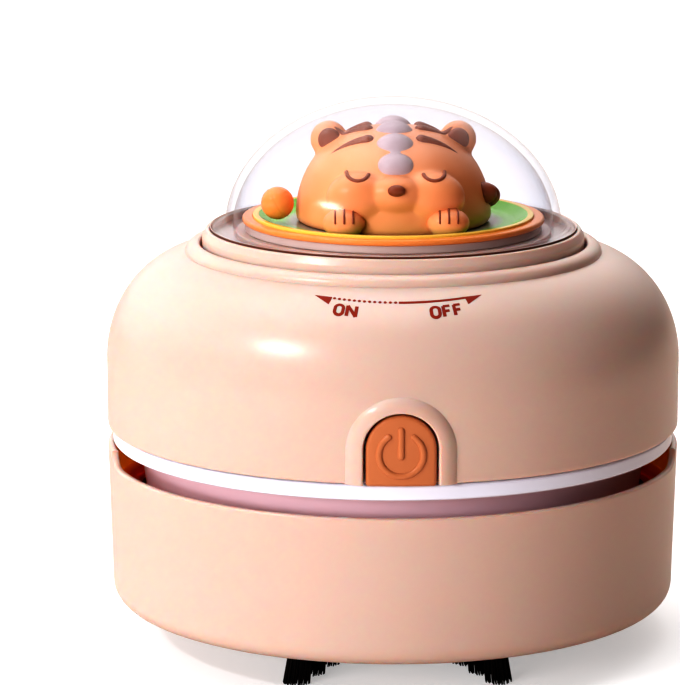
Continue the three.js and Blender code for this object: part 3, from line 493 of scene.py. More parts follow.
def loft(name, rings, material, closed=True, smooth_angle=35.0):
    """Joins rings of points. The rings' ends are capped where they don't close on each other."""
    size = len(rings[0])
    verts = [point for ring in rings for point in ring]
    faces = []
    spans = len(rings) if closed else len(rings) - 1
    for i in range(spans):
        a = i * size
        b = ((i + 1) % len(rings)) * size
        for k in range(size):
            n = (k + 1) % size
            faces.append([a + k, a + n, b + n, b + k])
    if not closed:
        faces.append(list(range(size))[::-1])
        faces.append(list(range(len(verts) - size, len(verts))))
    return make_piece(name, verts, faces, material, smooth_angle)


def prism(name, outline, low, high, material, edge=0.0):
    """An outline in the XY plane, raised from one height to another, with softened top and bottom edges."""
    levels = [(low, 0.0), (high, 0.0)]
    if edge:
        levels = [(low, edge), (low + edge, 0.0), (high - edge, 0.0), (high, edge)]
    rings = [[(x, y, z) for x, y in inset(outline, step)] for z, step in levels]
    return loft(name, rings, material, closed=False)


def inset(outline, step):
    """Moves a mostly convex outline inwards by a step, along its corners' normals."""
    if not step:
        return outline
    area = sum(a[0] * b[1] - b[0] * a[1] for a, b in zip(outline, outline[1:] + outline[:1]))
    side = 1 if area > 0 else -1
    moved = []
    for i, point in enumerate(outline):
        along = Vector(outline[(i + 1) % len(outline)]) - Vector(outline[i - 1])
        normal = Vector((-along.y, along.x)).normalized() * side
        moved.append(tuple(Vector(point) + normal * step))
    return moved


def sector(inner, outer, start, end, low, high, material, step=2.0):
    """A block between two radii and two angles, used as a cutter or a lug."""
    steps = max(2, math.ceil((end - start) / step))
    corners = ((inner, low), (outer, low), (outer, high), (inner, high))
    rings = []
    for i in range(steps + 1):
        angle = start + (end - start) * i / steps
        rings.append([polar(radius, angle, z) for radius, z in corners])
    return loft("sector", rings, material, closed=False)


def rod(name, radius, low, high, x, y, material):
    """An upright rod."""
    return prism(name, arc(x, y, radius, radius, 0, 360, 32)[:-1], low, high, material)


def post_places():
    """(x, y) of the four screw posts."""
    return [polar(POST_REACH, angle)[:2] for angle in POST_ANGLES]


def rounded_box_outline(length, width, corner, steps=8):
    """A rectangle about the origin with round corners."""
    x = length / 2 - corner
    y = width / 2 - corner
    points = []
    for cx, cy, start in ((x, y, 0), (-x, y, 90), (-x, -y, 180), (x, -y, 270)):
        points += arc(cx, cy, corner, corner, start, start + 90, steps)
    return points


# Upper shell
LIP_FOOT_REACH = 31.2 - SHOULDER_CENTRE
LIP_TOP = shell_high.z
LIP_CREST = 29.45
WELL_FLOOR = cap_low.z - FIT
WELL_THICKNESS = 1.4
NECK_OUTER = 31.35
LUG_LOW = WELL_FLOOR + 1.5
LUG_REACH = 27.5
BOSS_RADIUS = 2.8
BOSS_LOW = 38.9
BOSS_TOP = 55.0


def shoulder_point(radius, lift):
    """(radius, height) on the shoulder's outer face, lifted along its normal."""
    angle = math.acos((radius - SHOULDER_CENTRE) / SHOULDER_REACH)
    slope = Vector((math.cos(angle) / SHOULDER_REACH, math.sin(angle) / SHOULDER_RISE)).normalized()
    z = SHOULDER_Z + SHOULDER_RISE * math.sin(angle)
    return radius + slope.x * lift, z + slope.y * lift


def shell_profile():
    """The shell's section: wall, round shoulder, neck lip, the cap's well and the inner face."""
    foot_angle = math.degrees(math.acos(LIP_FOOT_REACH / SHOULDER_REACH))
    foot_z = SHOULDER_Z + SHOULDER_RISE * math.sin(math.radians(foot_angle))
    inner_reach = SHOULDER_REACH - BODY_WALL
    inner_rise = SHOULDER_RISE - BODY_WALL
    neck_angle = math.degrees(math.acos((NECK_OUTER - SHOULDER_CENTRE) / inner_reach))
    lip_reach = SHOULDER_CENTRE + LIP_FOOT_REACH - LIP_CREST
    outer = filleted([
        (BODY_RADIUS - BODY_WALL, SEAM), (BODY_RADIUS, SEAM, 0.35), (BODY_RADIUS, SHOULDER_Z)])[1:-1]
    shoulder = arc(SHOULDER_CENTRE, SHOULDER_Z, SHOULDER_REACH, SHOULDER_RISE, 0, foot_angle, 40)
    lip = arc(LIP_CREST, foot_z, lip_reach, LIP_TOP - foot_z, 0, 90, 10)
    inner_edge = arc(LIP_CREST, LIP_TOP - 0.5, LIP_CREST - WELL_RADIUS, 0.5, 90, 180, 6)
    well = [(WELL_RADIUS, WELL_FLOOR), (0.0, WELL_FLOOR), (0.0, WELL_FLOOR - WELL_THICKNESS),
            (NECK_OUTER, WELL_FLOOR - WELL_THICKNESS)]
    inside = arc(SHOULDER_CENTRE, SHOULDER_Z, inner_reach, inner_rise, neck_angle, 0, 24)
    return outer + shoulder + lip + inner_edge[1:] + well + inside + [(BODY_RADIUS - BODY_WALL, SEAM)]


def wrap(u, z, lift):
    """A point on the front wall: u along the wall to the right, z up, lift outwards from the wall's face."""
    radius = BODY_RADIUS
    if z > SHOULDER_Z:
        share = (z - SHOULDER_Z) / SHOULDER_RISE
        radius = SHOULDER_CENTRE + SHOULDER_REACH * math.sqrt(1 - share ** 2)
    return polar(radius + lift, FRONT + math.degrees(u / BODY_RADIUS), z)


def between(a, b, steps):
    """Points on a straight line from a to b, both included."""
    return [(a[0] + (b[0] - a[0]) * i / steps, a[1] + (b[1] - a[1]) * i / steps) for i in range(steps + 1)]


def arch_path(half, low, high):
    """Points (u, z) up the left side of an arch, over its round top and down the right side."""
    spring = high - half
    left = between((-half, low), (-half, spring), 10)
    top = arc(0.0, spring, half, half, 180, 0, 40)
    right = between((half, spring), (half, low), 10)
    return left[:-1] + top + right[1:]


BUTTON_HALF = 5.0
BUTTON_TOP = SEAM + 10.0
OPENING_HALF = BUTTON_HALF + 0.28
OPENING_TOP = BUTTON_TOP + 0.32
BEZEL_HALF = 7.9
BEZEL_TOP = SEAM + 12.5
BEZEL_PROUD = 0.9
BEZEL_EDGE = 0.22
BEZEL_SLOPE_REACH = 3.2
BEZEL_SLOPE_DROP = 2.7
BEZEL_SLOPE_END = 38.0
BEZEL_ROOT = 2.0


def button_bezel():
    """The raised arch round the button: a rounded rim swept up, over and down on the curved wall."""
    inner = arch_path(OPENING_HALF, SEAM, OPENING_TOP)
    outer = arch_path(BEZEL_HALF, SEAM, BEZEL_TOP)
    width = BEZEL_HALF - OPENING_HALF
    section = arc(BEZEL_EDGE, BEZEL_PROUD - BEZEL_EDGE, BEZEL_EDGE, BEZEL_EDGE, 180, 90, 5)
    section += arc(BEZEL_EDGE, BEZEL_PROUD - BEZEL_SLOPE_DROP, BEZEL_SLOPE_REACH, BEZEL_SLOPE_DROP,
                   90, BEZEL_SLOPE_END, 14)[1:]
    section += [(width - 0.1, -0.8), (width - 0.6, -BEZEL_ROOT), (0.0, -BEZEL_ROOT)]
    rings = []
    for (u0, z0), (u1, z1) in zip(inner, outer):
        ring = []
        for t, lift in section:
            share = t / width
            ring.append(wrap(u0 + (u1 - u0) * share, z0 + (z1 - z0) * share, lift))
        rings.append(ring)
    return loft("bezel", rings, peach_abs, closed=False)


def arch_cutter(half, low, high, near, far):
    """An arch-shaped bar along Y, for cutting the front wall."""
    path = arch_path(half, low, high)
    rings = [[(u, y, z) for u, z in path] for y in (near, far)]
    return loft("arch", rings, peach_abs, closed=False)


def cross_bar(outline, near, far, z_middle, material=peach_abs, x_middle=0.0):
    """A bar along Y with an outline in X and Z."""
    rings = [[(x_middle + x, y, z_middle + z) for x, z in outline] for y in (near, far)]
    return loft("bar", rings, material, closed=False)


def upper_shell():
    """The housing's shell, with the button's arch, the socket's port, the cap's lugs and screw bosses."""
    shell = lathe("upper_shell_moulding", shell_profile(), peach_abs)
    width = socket_high.x - socket_low.x
    height = socket_high.z - socket_low.z
    middle_z = (socket_low.z + socket_high.z) / 2
    hole_half = (OPENING_HALF + BEZEL_HALF) / 2
    cutters = [arch_cutter(hole_half, SEAM - 1.0, OPENING_TOP + 1.2, -BODY_RADIUS - 2.0, -BODY_RADIUS + 5.0)]
    for room, corner, depth in ((2 * FIT, 1.6, 5.0), (4 * FIT, 1.9, 0.55)):
        outline = rounded_box_outline(width + room, height + room, corner)
        cutters.append(cross_bar(outline, BODY_RADIUS - depth, BODY_RADIUS + 2.0, middle_z))
    cut(shell, *cutters)
    cut(shell, button_bezel(), operation="UNION")
    lugs = [sector(LUG_REACH, WELL_RADIUS + 0.4, angle - 6, angle + 6, LUG_LOW, LUG_LOW + LUG_HEIGHT,
                   peach_abs) for angle in LUG_ANGLES]
    bosses = [rod("boss", BOSS_RADIUS, BOSS_LOW, BOSS_TOP, x, y, peach_abs) for x, y in post_places()]
    settle_joined([shell, *lugs, *bosses], "housing", "peach_plastic", "upper_shell")


# Power button
BUTTON_LIFT = -button_low.y - BODY_RADIUS
BUTTON_DEPTH = 1.5
BUTTON_EDGE = 0.55
BUTTON_CORNER = 0.5
BUTTON_SINK = 0.19
FLANGE_LOW = SEAM + 6.3
SIGN_RADIUS = 3.08
SIGN_OPENING = 34.8


def arch_outline(step):
    """The button's outline moved in by a step, as points (u, z)."""
    half = BUTTON_HALF - step
    foot = half - BUTTON_CORNER
    low = SEAM - BUTTON_SINK + step
    side = low + BUTTON_CORNER
    spring = BUTTON_TOP - step - half
    points = arc(-foot, side, BUTTON_CORNER, BUTTON_CORNER, 270, 180, 6)
    points += between((-half, side), (-half, spring), 8)[1:-1]
    points += arc(0.0, spring, half, half, 180, 0, 40)
    points += between((half, spring), (half, side), 8)[1:-1]
    points += arc(foot, side, BUTTON_CORNER, BUTTON_CORNER, 0, -90, 6)
    points += between((foot, low), (-foot, low), 12)[1:-1]
    return points


def power_button():
    """An arched cap with softened edges that follows the wall's curve, and the standby sign raised on it."""
    centre_z = SEAM + BUTTON_HALF

    def shrunk(outline, share, lift):
        return [wrap(u * share, centre_z + (z - centre_z) * share, lift) for u, z in outline]

    rings = [shrunk(arch_outline(0.0), i / 10, BUTTON_LIFT - BUTTON_DEPTH) for i in range(1, 11)]
    for i in range(7):
        angle = math.radians(90 * i / 6)
        step = BUTTON_EDGE * (1 - math.cos(angle))
        lift = BUTTON_LIFT - BUTTON_EDGE * (1 - math.sin(angle))
        rings.append(shrunk(arch_outline(step), 1.0, lift))
    rings += [shrunk(arch_outline(BUTTON_EDGE), 1 - i / 10, BUTTON_LIFT) for i in range(1, 10)]
    cap = loft("power_button_cap", rings, orange_abs, closed=False)
    flange = prism("flange", rounded_box_outline(12.4, 1.0, 0.3), FLANGE_LOW, SEAM + 12.0, orange_abs)
    stem = prism("stem", rounded_box_outline(4.4, 3.0, 0.3), FLANGE_LOW, FLANGE_LOW + 3.2, orange_abs)
    start = 90 + SIGN_OPENING
    circle = arc(0.0, SEAM + 4.4, SIGN_RADIUS, SIGN_RADIUS, start, start + 360 - 2 * SIGN_OPENING, 48)
    bar = between((0.0, SEAM + 4.14), (0.0, SEAM + 7.9), 8)
    sign = [ribbon("sign", path, 0.45, 0.36, 0.08, button_place, orange_abs, 2) for path in (circle, bar)]
    settle_joined([cap, shift(flange, 0.0, -39.8), shift(stem, 0.0, -41.2), *sign],
                  "button", "orange_plastic", "power_button")


def button_place(u, z, lift):
    """A point lifted from the button's front face."""
    return wrap(u, z, BUTTON_LIFT + lift)


def stations_along(path, half_width, taper=1.0, quarter=None):
    """(point, direction, half width) along a path. taper is the share of the width left at the far end, and
    quarter gives the steps of a quarter turn, for round ends."""
    points = [Vector(p) for p in path if p is not None]
    last = len(points) - 1
    stations = []
    for i, point in enumerate(points):
        along = (points[min(i + 1, last)] - points[max(i - 1, 0)]).normalized()
        stations.append((point, along, half_width * (1.0 - (1.0 - taper) * i / last)))
    if not quarter:
        return stations
    ends = []
    for (point, along, width), way in ((stations[0], -1), (stations[-1], 1)):
        turns = [math.radians(90 * k / quarter) for k in range(1, int(quarter) + 1)]
        ends.append([(point + along * way * width * math.sin(a), along, width * math.cos(a)) for a in turns])
    return ends[0][::-1] + stations + ends[1]


def ribbon(name, path, half_width, height, sink, place, material, roundness=4, quarter=5.4):
    """A raised stroke along a path on a curved face, closed under it. Roundness 2 gives half a circle."""
    rings = []
    for point, along, width in stations_along(path, half_width, quarter=quarter):
        normal = Vector((-along.y, along.x)) * width
        ring = []
        for share in (-1.0, -0.92, -0.75, -0.4, 0.0, 0.4, 0.75, 0.92, 1.0):
            lift = height * math.sqrt(1 - abs(share) ** roundness) * (0.35 + 0.65 * width / half_width)
            ring.append(place(*(point + normal * share), lift))
        ring += [place(*(point + normal * share), -sink) for share in (1.0, -1.0)]
        rings.append(ring)
    return loft(name, rings, material, closed=False, smooth_angle=50.0)


# Printed marks on the shoulder
MARK_RADIUS = 35.05
MARK_LIFT = 0.03
MARK_SINK = 0.05
MARK_HALF_ANGLE = 20.3
MARK_RISE = 1.05
MARK_SHIFT = -0.17
MARK_SLOPE = math.radians(28.0)
HEAD_LENGTH = 2.75
HEAD_DROP = 1.45
LINE_HALF = 0.25
DOT_PITCH = 0.735
WORD_TOP = 0.95
LETTER_HEIGHT = 2.25
LETTER_WIDTH = {"O": 1.62, "N": 1.72, "F": 1.42}
LETTER_GAP = 0.1
LETTER_STROKE = 0.24


def mark_place(u, v, lift):
    """A point on the shoulder: u along the printed circle to the right, v down the slope from it."""
    share = u / (MARK_RADIUS * math.radians(MARK_HALF_ANGLE))
    radius, z = shoulder_point(MARK_RADIUS + v * math.cos(MARK_SLOPE) - MARK_RISE * share ** 2, lift)
    return polar(radius, FRONT + math.degrees((u + MARK_SHIFT) / MARK_RADIUS), z)


def flat_mark(name, outline):
    """A thin closed patch of ink from an outline of (u, v), fanned from its middle."""
    u_middle = sum(u for u, v in outline) / len(outline)
    v_middle = sum(v for u, v in outline) / len(outline)
    rings = []
    for share, lift in ((1.0, -MARK_SINK), (1.0, MARK_LIFT), (0.5, MARK_LIFT), (0.02, MARK_LIFT)):
        rings.append([mark_place(u_middle + (u - u_middle) * share, v_middle + (v - v_middle) * share, lift)
                      for u, v in outline])
    return loft(name, rings, pad_ink, closed=False)


def ink_stroke(name, path, half_width, roundness=4):
    """A thin square-ended stroke of ink."""
    return ribbon(name, path, half_width, MARK_LIFT, MARK_SINK, mark_place, pad_ink, roundness, quarter=None)


def letter_strokes(letter, left, top):
    """The strokes of a bold narrow letter as paths of (u, v)."""
    low = top + LETTER_HEIGHT - 2 * LETTER_STROKE
    right = left + LETTER_WIDTH[letter] - 2 * LETTER_STROKE
    middle = (top + low) / 2
    if letter == "O":
        radius = (right - left) / 2
        centre = (left + right) / 2
        upper = arc(centre, top + radius, radius, radius, 180, 360, 16)
        under = arc(centre, low - radius, radius, radius, 0, 180, 16)
        return [upper + under + upper[:2]]
    if letter == "N":
        return [between((left, low), (left, top), 8), between((left, top), (right, low), 10),
                between((right, top), (right, low), 8)]
    return [between((left, low), (left, top), 8), between((left, top), (right, top), 6),
            between((left, middle), (right - 0.14, middle), 6)]


def lettering(word, u_middle):
    """A word in printed strokes, one letter after the other."""
    whole_width = sum(LETTER_WIDTH[letter] for letter in word) + LETTER_GAP * (len(word) - 1)
    left = u_middle - whole_width / 2 + LETTER_STROKE
    strokes = []
    for letter in word:
        for path in letter_strokes(letter, left, WORD_TOP + LETTER_STROKE):
            strokes.append(ink_stroke("letter", path, LETTER_STROKE, roundness=8))
        left += LETTER_WIDTH[letter] + LETTER_GAP
    return strokes


def printed_marks():
    """The turning mark: two arrowheads, one half dotted and one half solid, with ON and OFF under them."""
    base = MARK_RADIUS * math.radians(MARK_HALF_ANGLE) - HEAD_LENGTH
    marks = [ink_stroke("printed_marks", between((0.0, 0.0), (base, 0.0), 24), LINE_HALF)]
    for side in (-1, 1):
        corners = [(base + HEAD_LENGTH, 0.0), (base + 0.14, HEAD_DROP), (base, 0.3), (base, -0.2)]
        corners = [(side * u, v) for u, v in corners]
        outline = []
        for a, b, steps in zip(corners, corners[1:] + corners[:1], (8, 4, 2, 8)):
            outline += between(a, b, steps)[:-1]
        marks.append(flat_mark("head", outline))
    for i in range(int(base / DOT_PITCH)):
        marks.append(flat_mark("dot", arc(-DOT_PITCH * (i + 0.6), 0.0, 0.23, 0.24, 0, 345, 23)))
    marks += lettering("ON", -7.25) + lettering("OFF", 6.45)
    settle_joined(marks, "housing", "orange_plastic")


# Dust cup
CUP_BASE = 42.4
CUP_WALL = 1.8
CUP_FLOOR = nozzle_low.z + CUP_WALL
CUP_INNER = 41.2
CUP_LIP_INNER = 42.0
SHELF_Z = seal_low.z - FIT
SHELF_INNER = 36.4
SHELF_THICKNESS = 1.5
SHELF_BRACE = 4.8
NOZZLE_FLANGE = 1.6
SLOT_SWEEP = 4.2
SLOT_SWEEP_BACK = 2.5
SLOT_RIM = cup_low.z + 22.0
STRIP_TURN = 24.5
STRIP_ANGLES = (FRONT - STRIP_TURN, BACK - STRIP_TURN, FRONT + STRIP_TURN, BACK + STRIP_TURN)
STRIP_NEAR = 19.6
STRIP_FAR = 35.6
STRIP_HALF = 2.3
STRIP_TOP = 6.5
STRIP_LOW = 5.3


def rim_height(angle):
    """The height of the cup's rim at an angle: low across the front slot, swept up at its ends."""
    off = abs((angle - FRONT + 180) % 360 - 180) - SLOT_HALF_ANGLE + SLOT_SWEEP_BACK
    run = math.radians(off) * BODY_RADIUS / SLOT_SWEEP
    if run <= 0:
        return SLOT_RIM
    if run >= 1:
        return cup_high.z
    return SLOT_RIM + (cup_high.z - SLOT_RIM) * (1 - math.sqrt(1 - run ** 2))


def cup_profile(angle):
    """The cup's section at an angle, from the nozzle's hole round the wall and the shelf and back."""
    top = rim_height(angle)
    hole = nozzle_high.x - NOZZLE_FLANGE + FIT
    shelf_under = SHELF_Z - SHELF_THICKNESS
    return filleted([
        (hole, cup_low.z, 0.15),
        (CUP_BASE, cup_low.z, 2.8),
        (BODY_RADIUS, top, 0.4),
        (CUP_LIP_INNER, top, 0.3),
        (CUP_LIP_INNER, SHELF_Z + 2.2, 0.3),
        (CUP_INNER, SHELF_Z + 1.2, 0.3),
        (CUP_INNER, SHELF_Z, 0.3),
        (SHELF_INNER, SHELF_Z, 0.3),
        (SHELF_INNER, shelf_under, 0.3),
        (CUP_INNER - FIT, shelf_under - SHELF_BRACE, 0.8),
        (CUP_BASE - CUP_WALL, CUP_FLOOR, 2.2),
        (hole, CUP_FLOOR, 0.15),
    ], step=9.0)


def radial_block(near, far, half_width, low, high, angle, material, corner=0.3, edge=0.0):
    """A straight bar along a radius."""
    outline = [(x + (near + far) / 2, y) for x, y in rounded_box_outline(far - near, 2 * half_width, corner)]
    bar = prism("bar", outline, low, high, material, edge)
    bar.data.transform(Matrix.Rotation(math.radians(angle), 4, "Z"))
    return bar


def dust_cup():
    """The cup, its rim swept down across the front slot, with pockets for the brush bars."""
    angles = {360.0 * i / ROUND for i in range(ROUND)}
    reach = math.degrees(SLOT_SWEEP / BODY_RADIUS)
    for side in (-1, 1):
        for i in range(33):
            share = math.sin(math.radians(90 * i / 32))
            angles.add((FRONT + side * (SLOT_HALF_ANGLE + reach * share - SLOT_SWEEP_BACK)) % 360)
    angles = sorted({round(angle, 4) for angle in angles})
    cup = lathe("dust_cup_moulding", cup_profile, peach_abs, angles=angles)
    cut(cup, *[radial_block(STRIP_NEAR - FIT, STRIP_FAR + FIT, STRIP_HALF + FIT, cup_low.z - 1.0,
                            STRIP_TOP + FIT, angle, peach_abs) for angle in STRIP_ANGLES])
    # Painted glow: the lip's inner faces and the shelf top take the warmer lip material
    paint(cup, lip_glow_painted, lambda reach, z: SHELF_INNER < reach < CUP_LIP_INNER + 0.05 and z > SHELF_Z - 0.05)
    settle(cup, "cup", "peach_plastic", "dust_cup")


MOUTH_LENGTH = 26.0
MOUTH_WIDTH = 10.0
DUCT_WALL = 1.4
DUCT_ROOT = 0.4


def mouth_outline(wall):
    """The long round-ended outline of the mouth, moved out by a wall."""
    width = MOUTH_WIDTH + 2 * wall
    return rounded_box_outline(MOUTH_LENGTH + 2 * wall, width, width / 2 - 0.01, 12)


def suction_nozzle():
    """The plate in the cup's floor, with the flared mouth and the duct that keeps the crumbs in."""
    low = nozzle_low.z
    high = nozzle_high.z
    rim = nozzle_high.x
    flange_z = CUP_FLOOR + FIT
    plate = lathe("suction_nozzle_moulding", filleted([
        (0.0, low),
        (rim - NOZZLE_FLANGE, low, 0.3),
        (rim - NOZZLE_FLANGE, flange_z, 0.1),
        (rim, flange_z, 0.2),
        (rim, flange_z + 1.0, 0.3),
        (0.0, flange_z + 1.0),
    ]), peach_abs)
    cut(plate, prism("hole", mouth_outline(0.0), low - 1, high + 1, peach_abs))
    section = filleted([(0.0, low + DUCT_ROOT), (1.0, low + DUCT_ROOT), (1.0, high, 0.4), (0.0, high, 0.4)])
    rings = []
    for a, b in zip(mouth_outline(0.0), mouth_outline(DUCT_WALL)):
        rings.append([(a[0] + (b[0] - a[0]) * t, a[1] + (b[1] - a[1]) * t, z) for t, z in section])
    duct = loft("duct", rings, peach_abs)
    settle_joined([plate, duct], "cup", "peach_plastic", "suction_nozzle")


# Brush strips
TUFT_PITCH = 5.3
TUFT_ROOT = 1.65
TUFT_FLARE = 1.2
TUFT_SPLAY = 0.45
TUFT_SPLAY_GROWTH = 1.6
TUFT_INPUTS = {
    "Root Radius": TUFT_ROOT * MM,
    "Length": (STRIP_LOW + 0.27) * MM,
    "Flare": TUFT_FLARE,
    "Bristle Radius": 0.14 * MM,
    "Spacing": 0.26 * MM,
}


def tuft_tree():
    """Geometry nodes: at each point of the input a tuft of thin bristles that flare to the ground."""
    tree = bpy.data.node_groups.new("bristle_tufts", "GeometryNodeTree")
    face = tree.interface
    face.new_socket("Geometry", in_out="INPUT", socket_type="NodeSocketGeometry")
    for name, value in TUFT_INPUTS.items():
        face.new_socket(name, in_out="INPUT", socket_type="NodeSocketFloat").default_value = value
    face.new_socket("Seed", in_out="INPUT", socket_type="NodeSocketInt")
    face.new_socket("Material", in_out="INPUT", socket_type="NodeSocketMaterial")
    face.new_socket("Geometry", in_out="OUTPUT", socket_type="NodeSocketGeometry")
    given = add_node(tree, "NodeGroupInput").outputs
    disc = add_node(tree, "GeometryNodeMeshCircle", {"Vertices": 24, "Radius": given["Root Radius"]},
                    fill_type="NGON")
    roots = add_node(tree, "GeometryNodeDistributePointsOnFaces", {
        "Mesh": disc.outputs["Mesh"], "Distance Min": given["Spacing"], "Density Max": 3.0e7,
        "Density Factor": 1.0, "Seed": given["Seed"]}, distribute_method="POISSON")
    place = add_node(tree, "GeometryNodeInputPosition").outputs["Position"]
    widening = add_node(tree, "ShaderNodeMath", {0: given["Flare"], 1: 1.0}, operation="SUBTRACT")
    lean = add_node(tree, "ShaderNodeVectorMath", {0: place, "Scale": widening.outputs["Value"]},
                    operation="SCALE")
    down = add_node(tree, "ShaderNodeMath", {0: given["Length"], 1: -1.0}, operation="MULTIPLY")
    fall = add_node(tree, "ShaderNodeCombineXYZ", {"Z": down.outputs["Value"]})
    reach = add_node(tree, "ShaderNodeVectorMath", {0: lean.outputs["Vector"], 1: fall.outputs["Vector"]})
    length = add_node(tree, "ShaderNodeVectorMath", {0: reach.outputs["Vector"]}, operation="LENGTH")
    turn = add_node(tree, "FunctionNodeAlignRotationToVector", {"Vector": reach.outputs["Vector"]}, axis="Z")
    thread = add_node(tree, "GeometryNodeMeshCone", {
        "Vertices": 6, "Radius Top": 0.75, "Radius Bottom": 1.0, "Depth": 1.0}, fill_type="NGON")
    size = add_node(tree, "ShaderNodeCombineXYZ", {
        "X": given["Bristle Radius"], "Y": given["Bristle Radius"], "Z": length.outputs["Value"]})
    tuft = add_node(tree, "GeometryNodeInstanceOnPoints", {
        "Points": roots.outputs["Points"], "Instance": thread.outputs["Mesh"],
        "Rotation": turn.outputs["Rotation"], "Scale": size.outputs["Vector"]})
    places = add_node(tree, "GeometryNodeMeshToPoints", {"Mesh": given["Geometry"]})
    tufts = add_node(tree, "GeometryNodeInstanceOnPoints", {
        "Points": places.outputs["Points"], "Instance": tuft.outputs["Instances"]})
    real = add_node(tree, "GeometryNodeRealizeInstances", {"Geometry": tufts.outputs["Instances"]})
    dressed = add_node(tree, "GeometryNodeSetMaterial", {
        "Geometry": real.outputs["Geometry"], "Material": given["Material"]})
    add_node(tree, "NodeGroupOutput", {"Geometry": dressed.outputs["Geometry"]})
    return tree


def grown(name, points, tree, **values):
    """A mesh that a geometry tree grows from points in millimetres."""
    mesh = bpy.data.meshes.new(name)
    mesh.from_pydata([Vector(p) * MM for p in points], [], [])
    piece = placed(name, mesh)
    grower = piece.modifiers.new("grow", "NODES")
    grower.node_group = tree
    sockets = {item.name: item.identifier for item in tree.interface.items_tree if item.in_out == "INPUT"}
    for key, value in values.items():
        grower[sockets[key]] = value
    return baked(piece)


def brush_strips():
    """Four bars with three tufts each, the bristles splayed outwards to the ground."""
    tree = tuft_tree()
    middle = (STRIP_NEAR + STRIP_FAR) / 2
    for i, angle in enumerate(STRIP_ANGLES):
        bar = radial_block(STRIP_NEAR, STRIP_FAR, STRIP_HALF, STRIP_LOW, STRIP_TOP, angle, black_abs,
                           corner=0.6, edge=0.25)
        roots = [polar(middle + k * TUFT_PITCH, angle, STRIP_LOW + 0.3) for k in (-1, 0, 1)]
        tufts = grown(f"brush_strip_bristles_{i + 1}", roots, tree, Material=nylon_bristle, Seed=4 + i)
        turn = 90.0 if math.sin(math.radians(2 * angle)) < 0 else -90.0
        out = Vector(polar(TUFT_SPLAY, angle + turn))
        for vert in tufts.data.vertices:
            drop = 1.0 - vert.co.z / MM / STRIP_LOW
            vert.co += out * (1.0 + TUFT_SPLAY_GROWTH * drop) * MM
        settle_joined([tufts, bar], "cup", "black_nylon", f"brush_strip_{i + 1}")


def turned_ring(name, inner, outer, low, high, foot, crown, material, **settings):
    """A ring, or a disc where inner is 0, with its lower and upper edges rounded."""
    corners = [(outer, low, foot), (outer, high, crown)]
    if inner:
        corners = [(inner, low, foot), *corners, (inner, high, crown)]
    else:
        corners = [(0.0, low), *corners, (0.0, high)]
    return lathe(name, filleted(corners), material, **settings)


SEAL_INNER = 36.1
SEAL_WIDTH = 2.6


def seal_ring():
    """The grey rubber ring on the cup's shelf."""
    ring = turned_ring("seal_ring_moulding", SEAL_INNER, SEAL_INNER + SEAL_WIDTH, seal_low.z, seal_high.z,
                       0.2, 0.3, nitrile_rubber)
    settle(ring, "cup", "grey_rubber", "cup_seal_ring")


# Motor deck with the white ring and the filter cylinder
RING_RADIUS = 42.25
RING_LOW = cup_high.z + FIT
RING_TOP = SEAM - FIT
CYLINDER_TOP = 38.3
CYLINDER_LOW = 37.2
CYLINDER_WALL = 1.4
DECK_PLATE = 1.5
DECK_FLOOR = RING_LOW + DECK_PLATE
CHAMBER_RADIUS = 41.1
CHAMBER_WALL = 0.8
EYE_RADIUS = 10.0
WINDOW_PITCH = 20.0
WINDOW_HALF = 8.0
POST_RADIUS = 2.6
SCREW_BORE = 1.1
SCREW_RECESS = 2.2


def motor_deck():
    """The deck between cup and motor: white ring, rose filter cylinder, windows, rear skirt and posts."""
    chamber_inner = CHAMBER_RADIUS - CHAMBER_WALL
    pan = lathe("motor_deck_moulding", filleted([
        (EYE_RADIUS, RING_LOW, 0.3),
        (CYLINDER_TOP - CYLINDER_WALL, RING_LOW, 0.4),
        (CYLINDER_LOW - CYLINDER_WALL, deck_low.z, 0.3),
        (CYLINDER_LOW, deck_low.z, 0.3),
        (CYLINDER_TOP, RING_LOW, 0.4),
        (RING_RADIUS, RING_LOW, 0.45),
        (RING_RADIUS, RING_TOP, 0.45),
        (CHAMBER_RADIUS, RING_TOP, 0.1),
        (CHAMBER_RADIUS, deck_high.z, 0.1),
        (chamber_inner, deck_high.z, 0.1),
        (chamber_inner, DECK_FLOOR, 0.2),
        (EYE_RADIUS, DECK_FLOOR, 0.3),
    ]), white_abs)
    near = CYLINDER_TOP + FIT
    cutters = []
    for i in range(7):
        middle = FRONT + (i - 3) * WINDOW_PITCH
        cutters.append(sector(near, near + 1.4, middle - WINDOW_HALF, middle + WINDOW_HALF,
                              RING_LOW - 1, DECK_FLOOR + 1, white_abs))
    for radius, top in ((SCREW_RECESS, RING_LOW + 1.2), (SCREW_BORE, DECK_FLOOR + 3)):
        cutters += [rod("hole", radius, RING_LOW - 1, top, x, y, white_abs) for x, y in post_places()]
    cut(pan, *cutters)
    paint(pan, rose_abs, lambda reach, z: z < RING_LOW + 0.02 and reach < CYLINDER_TOP + 0.1)
    skirt = sector(40.2, 40.9, BACK - 92, BACK + 92, RING_LOW - 2.3, RING_LOW + 0.7, peach_abs, step=1.5)
    foot = DECK_FLOOR - 0.7
    top = deck_high.z
    section = [(SCREW_BORE, foot), (POST_RADIUS, foot), (POST_RADIUS, top), (SCREW_BORE, top)]
    posts = [shift(lathe("post", section, white_abs, segments=32), x, y) for x, y in post_places()]
    settle_joined([pan, skirt, *posts], "housing", "white_plastic", "motor_deck")


FILTER_LOW = 22.2


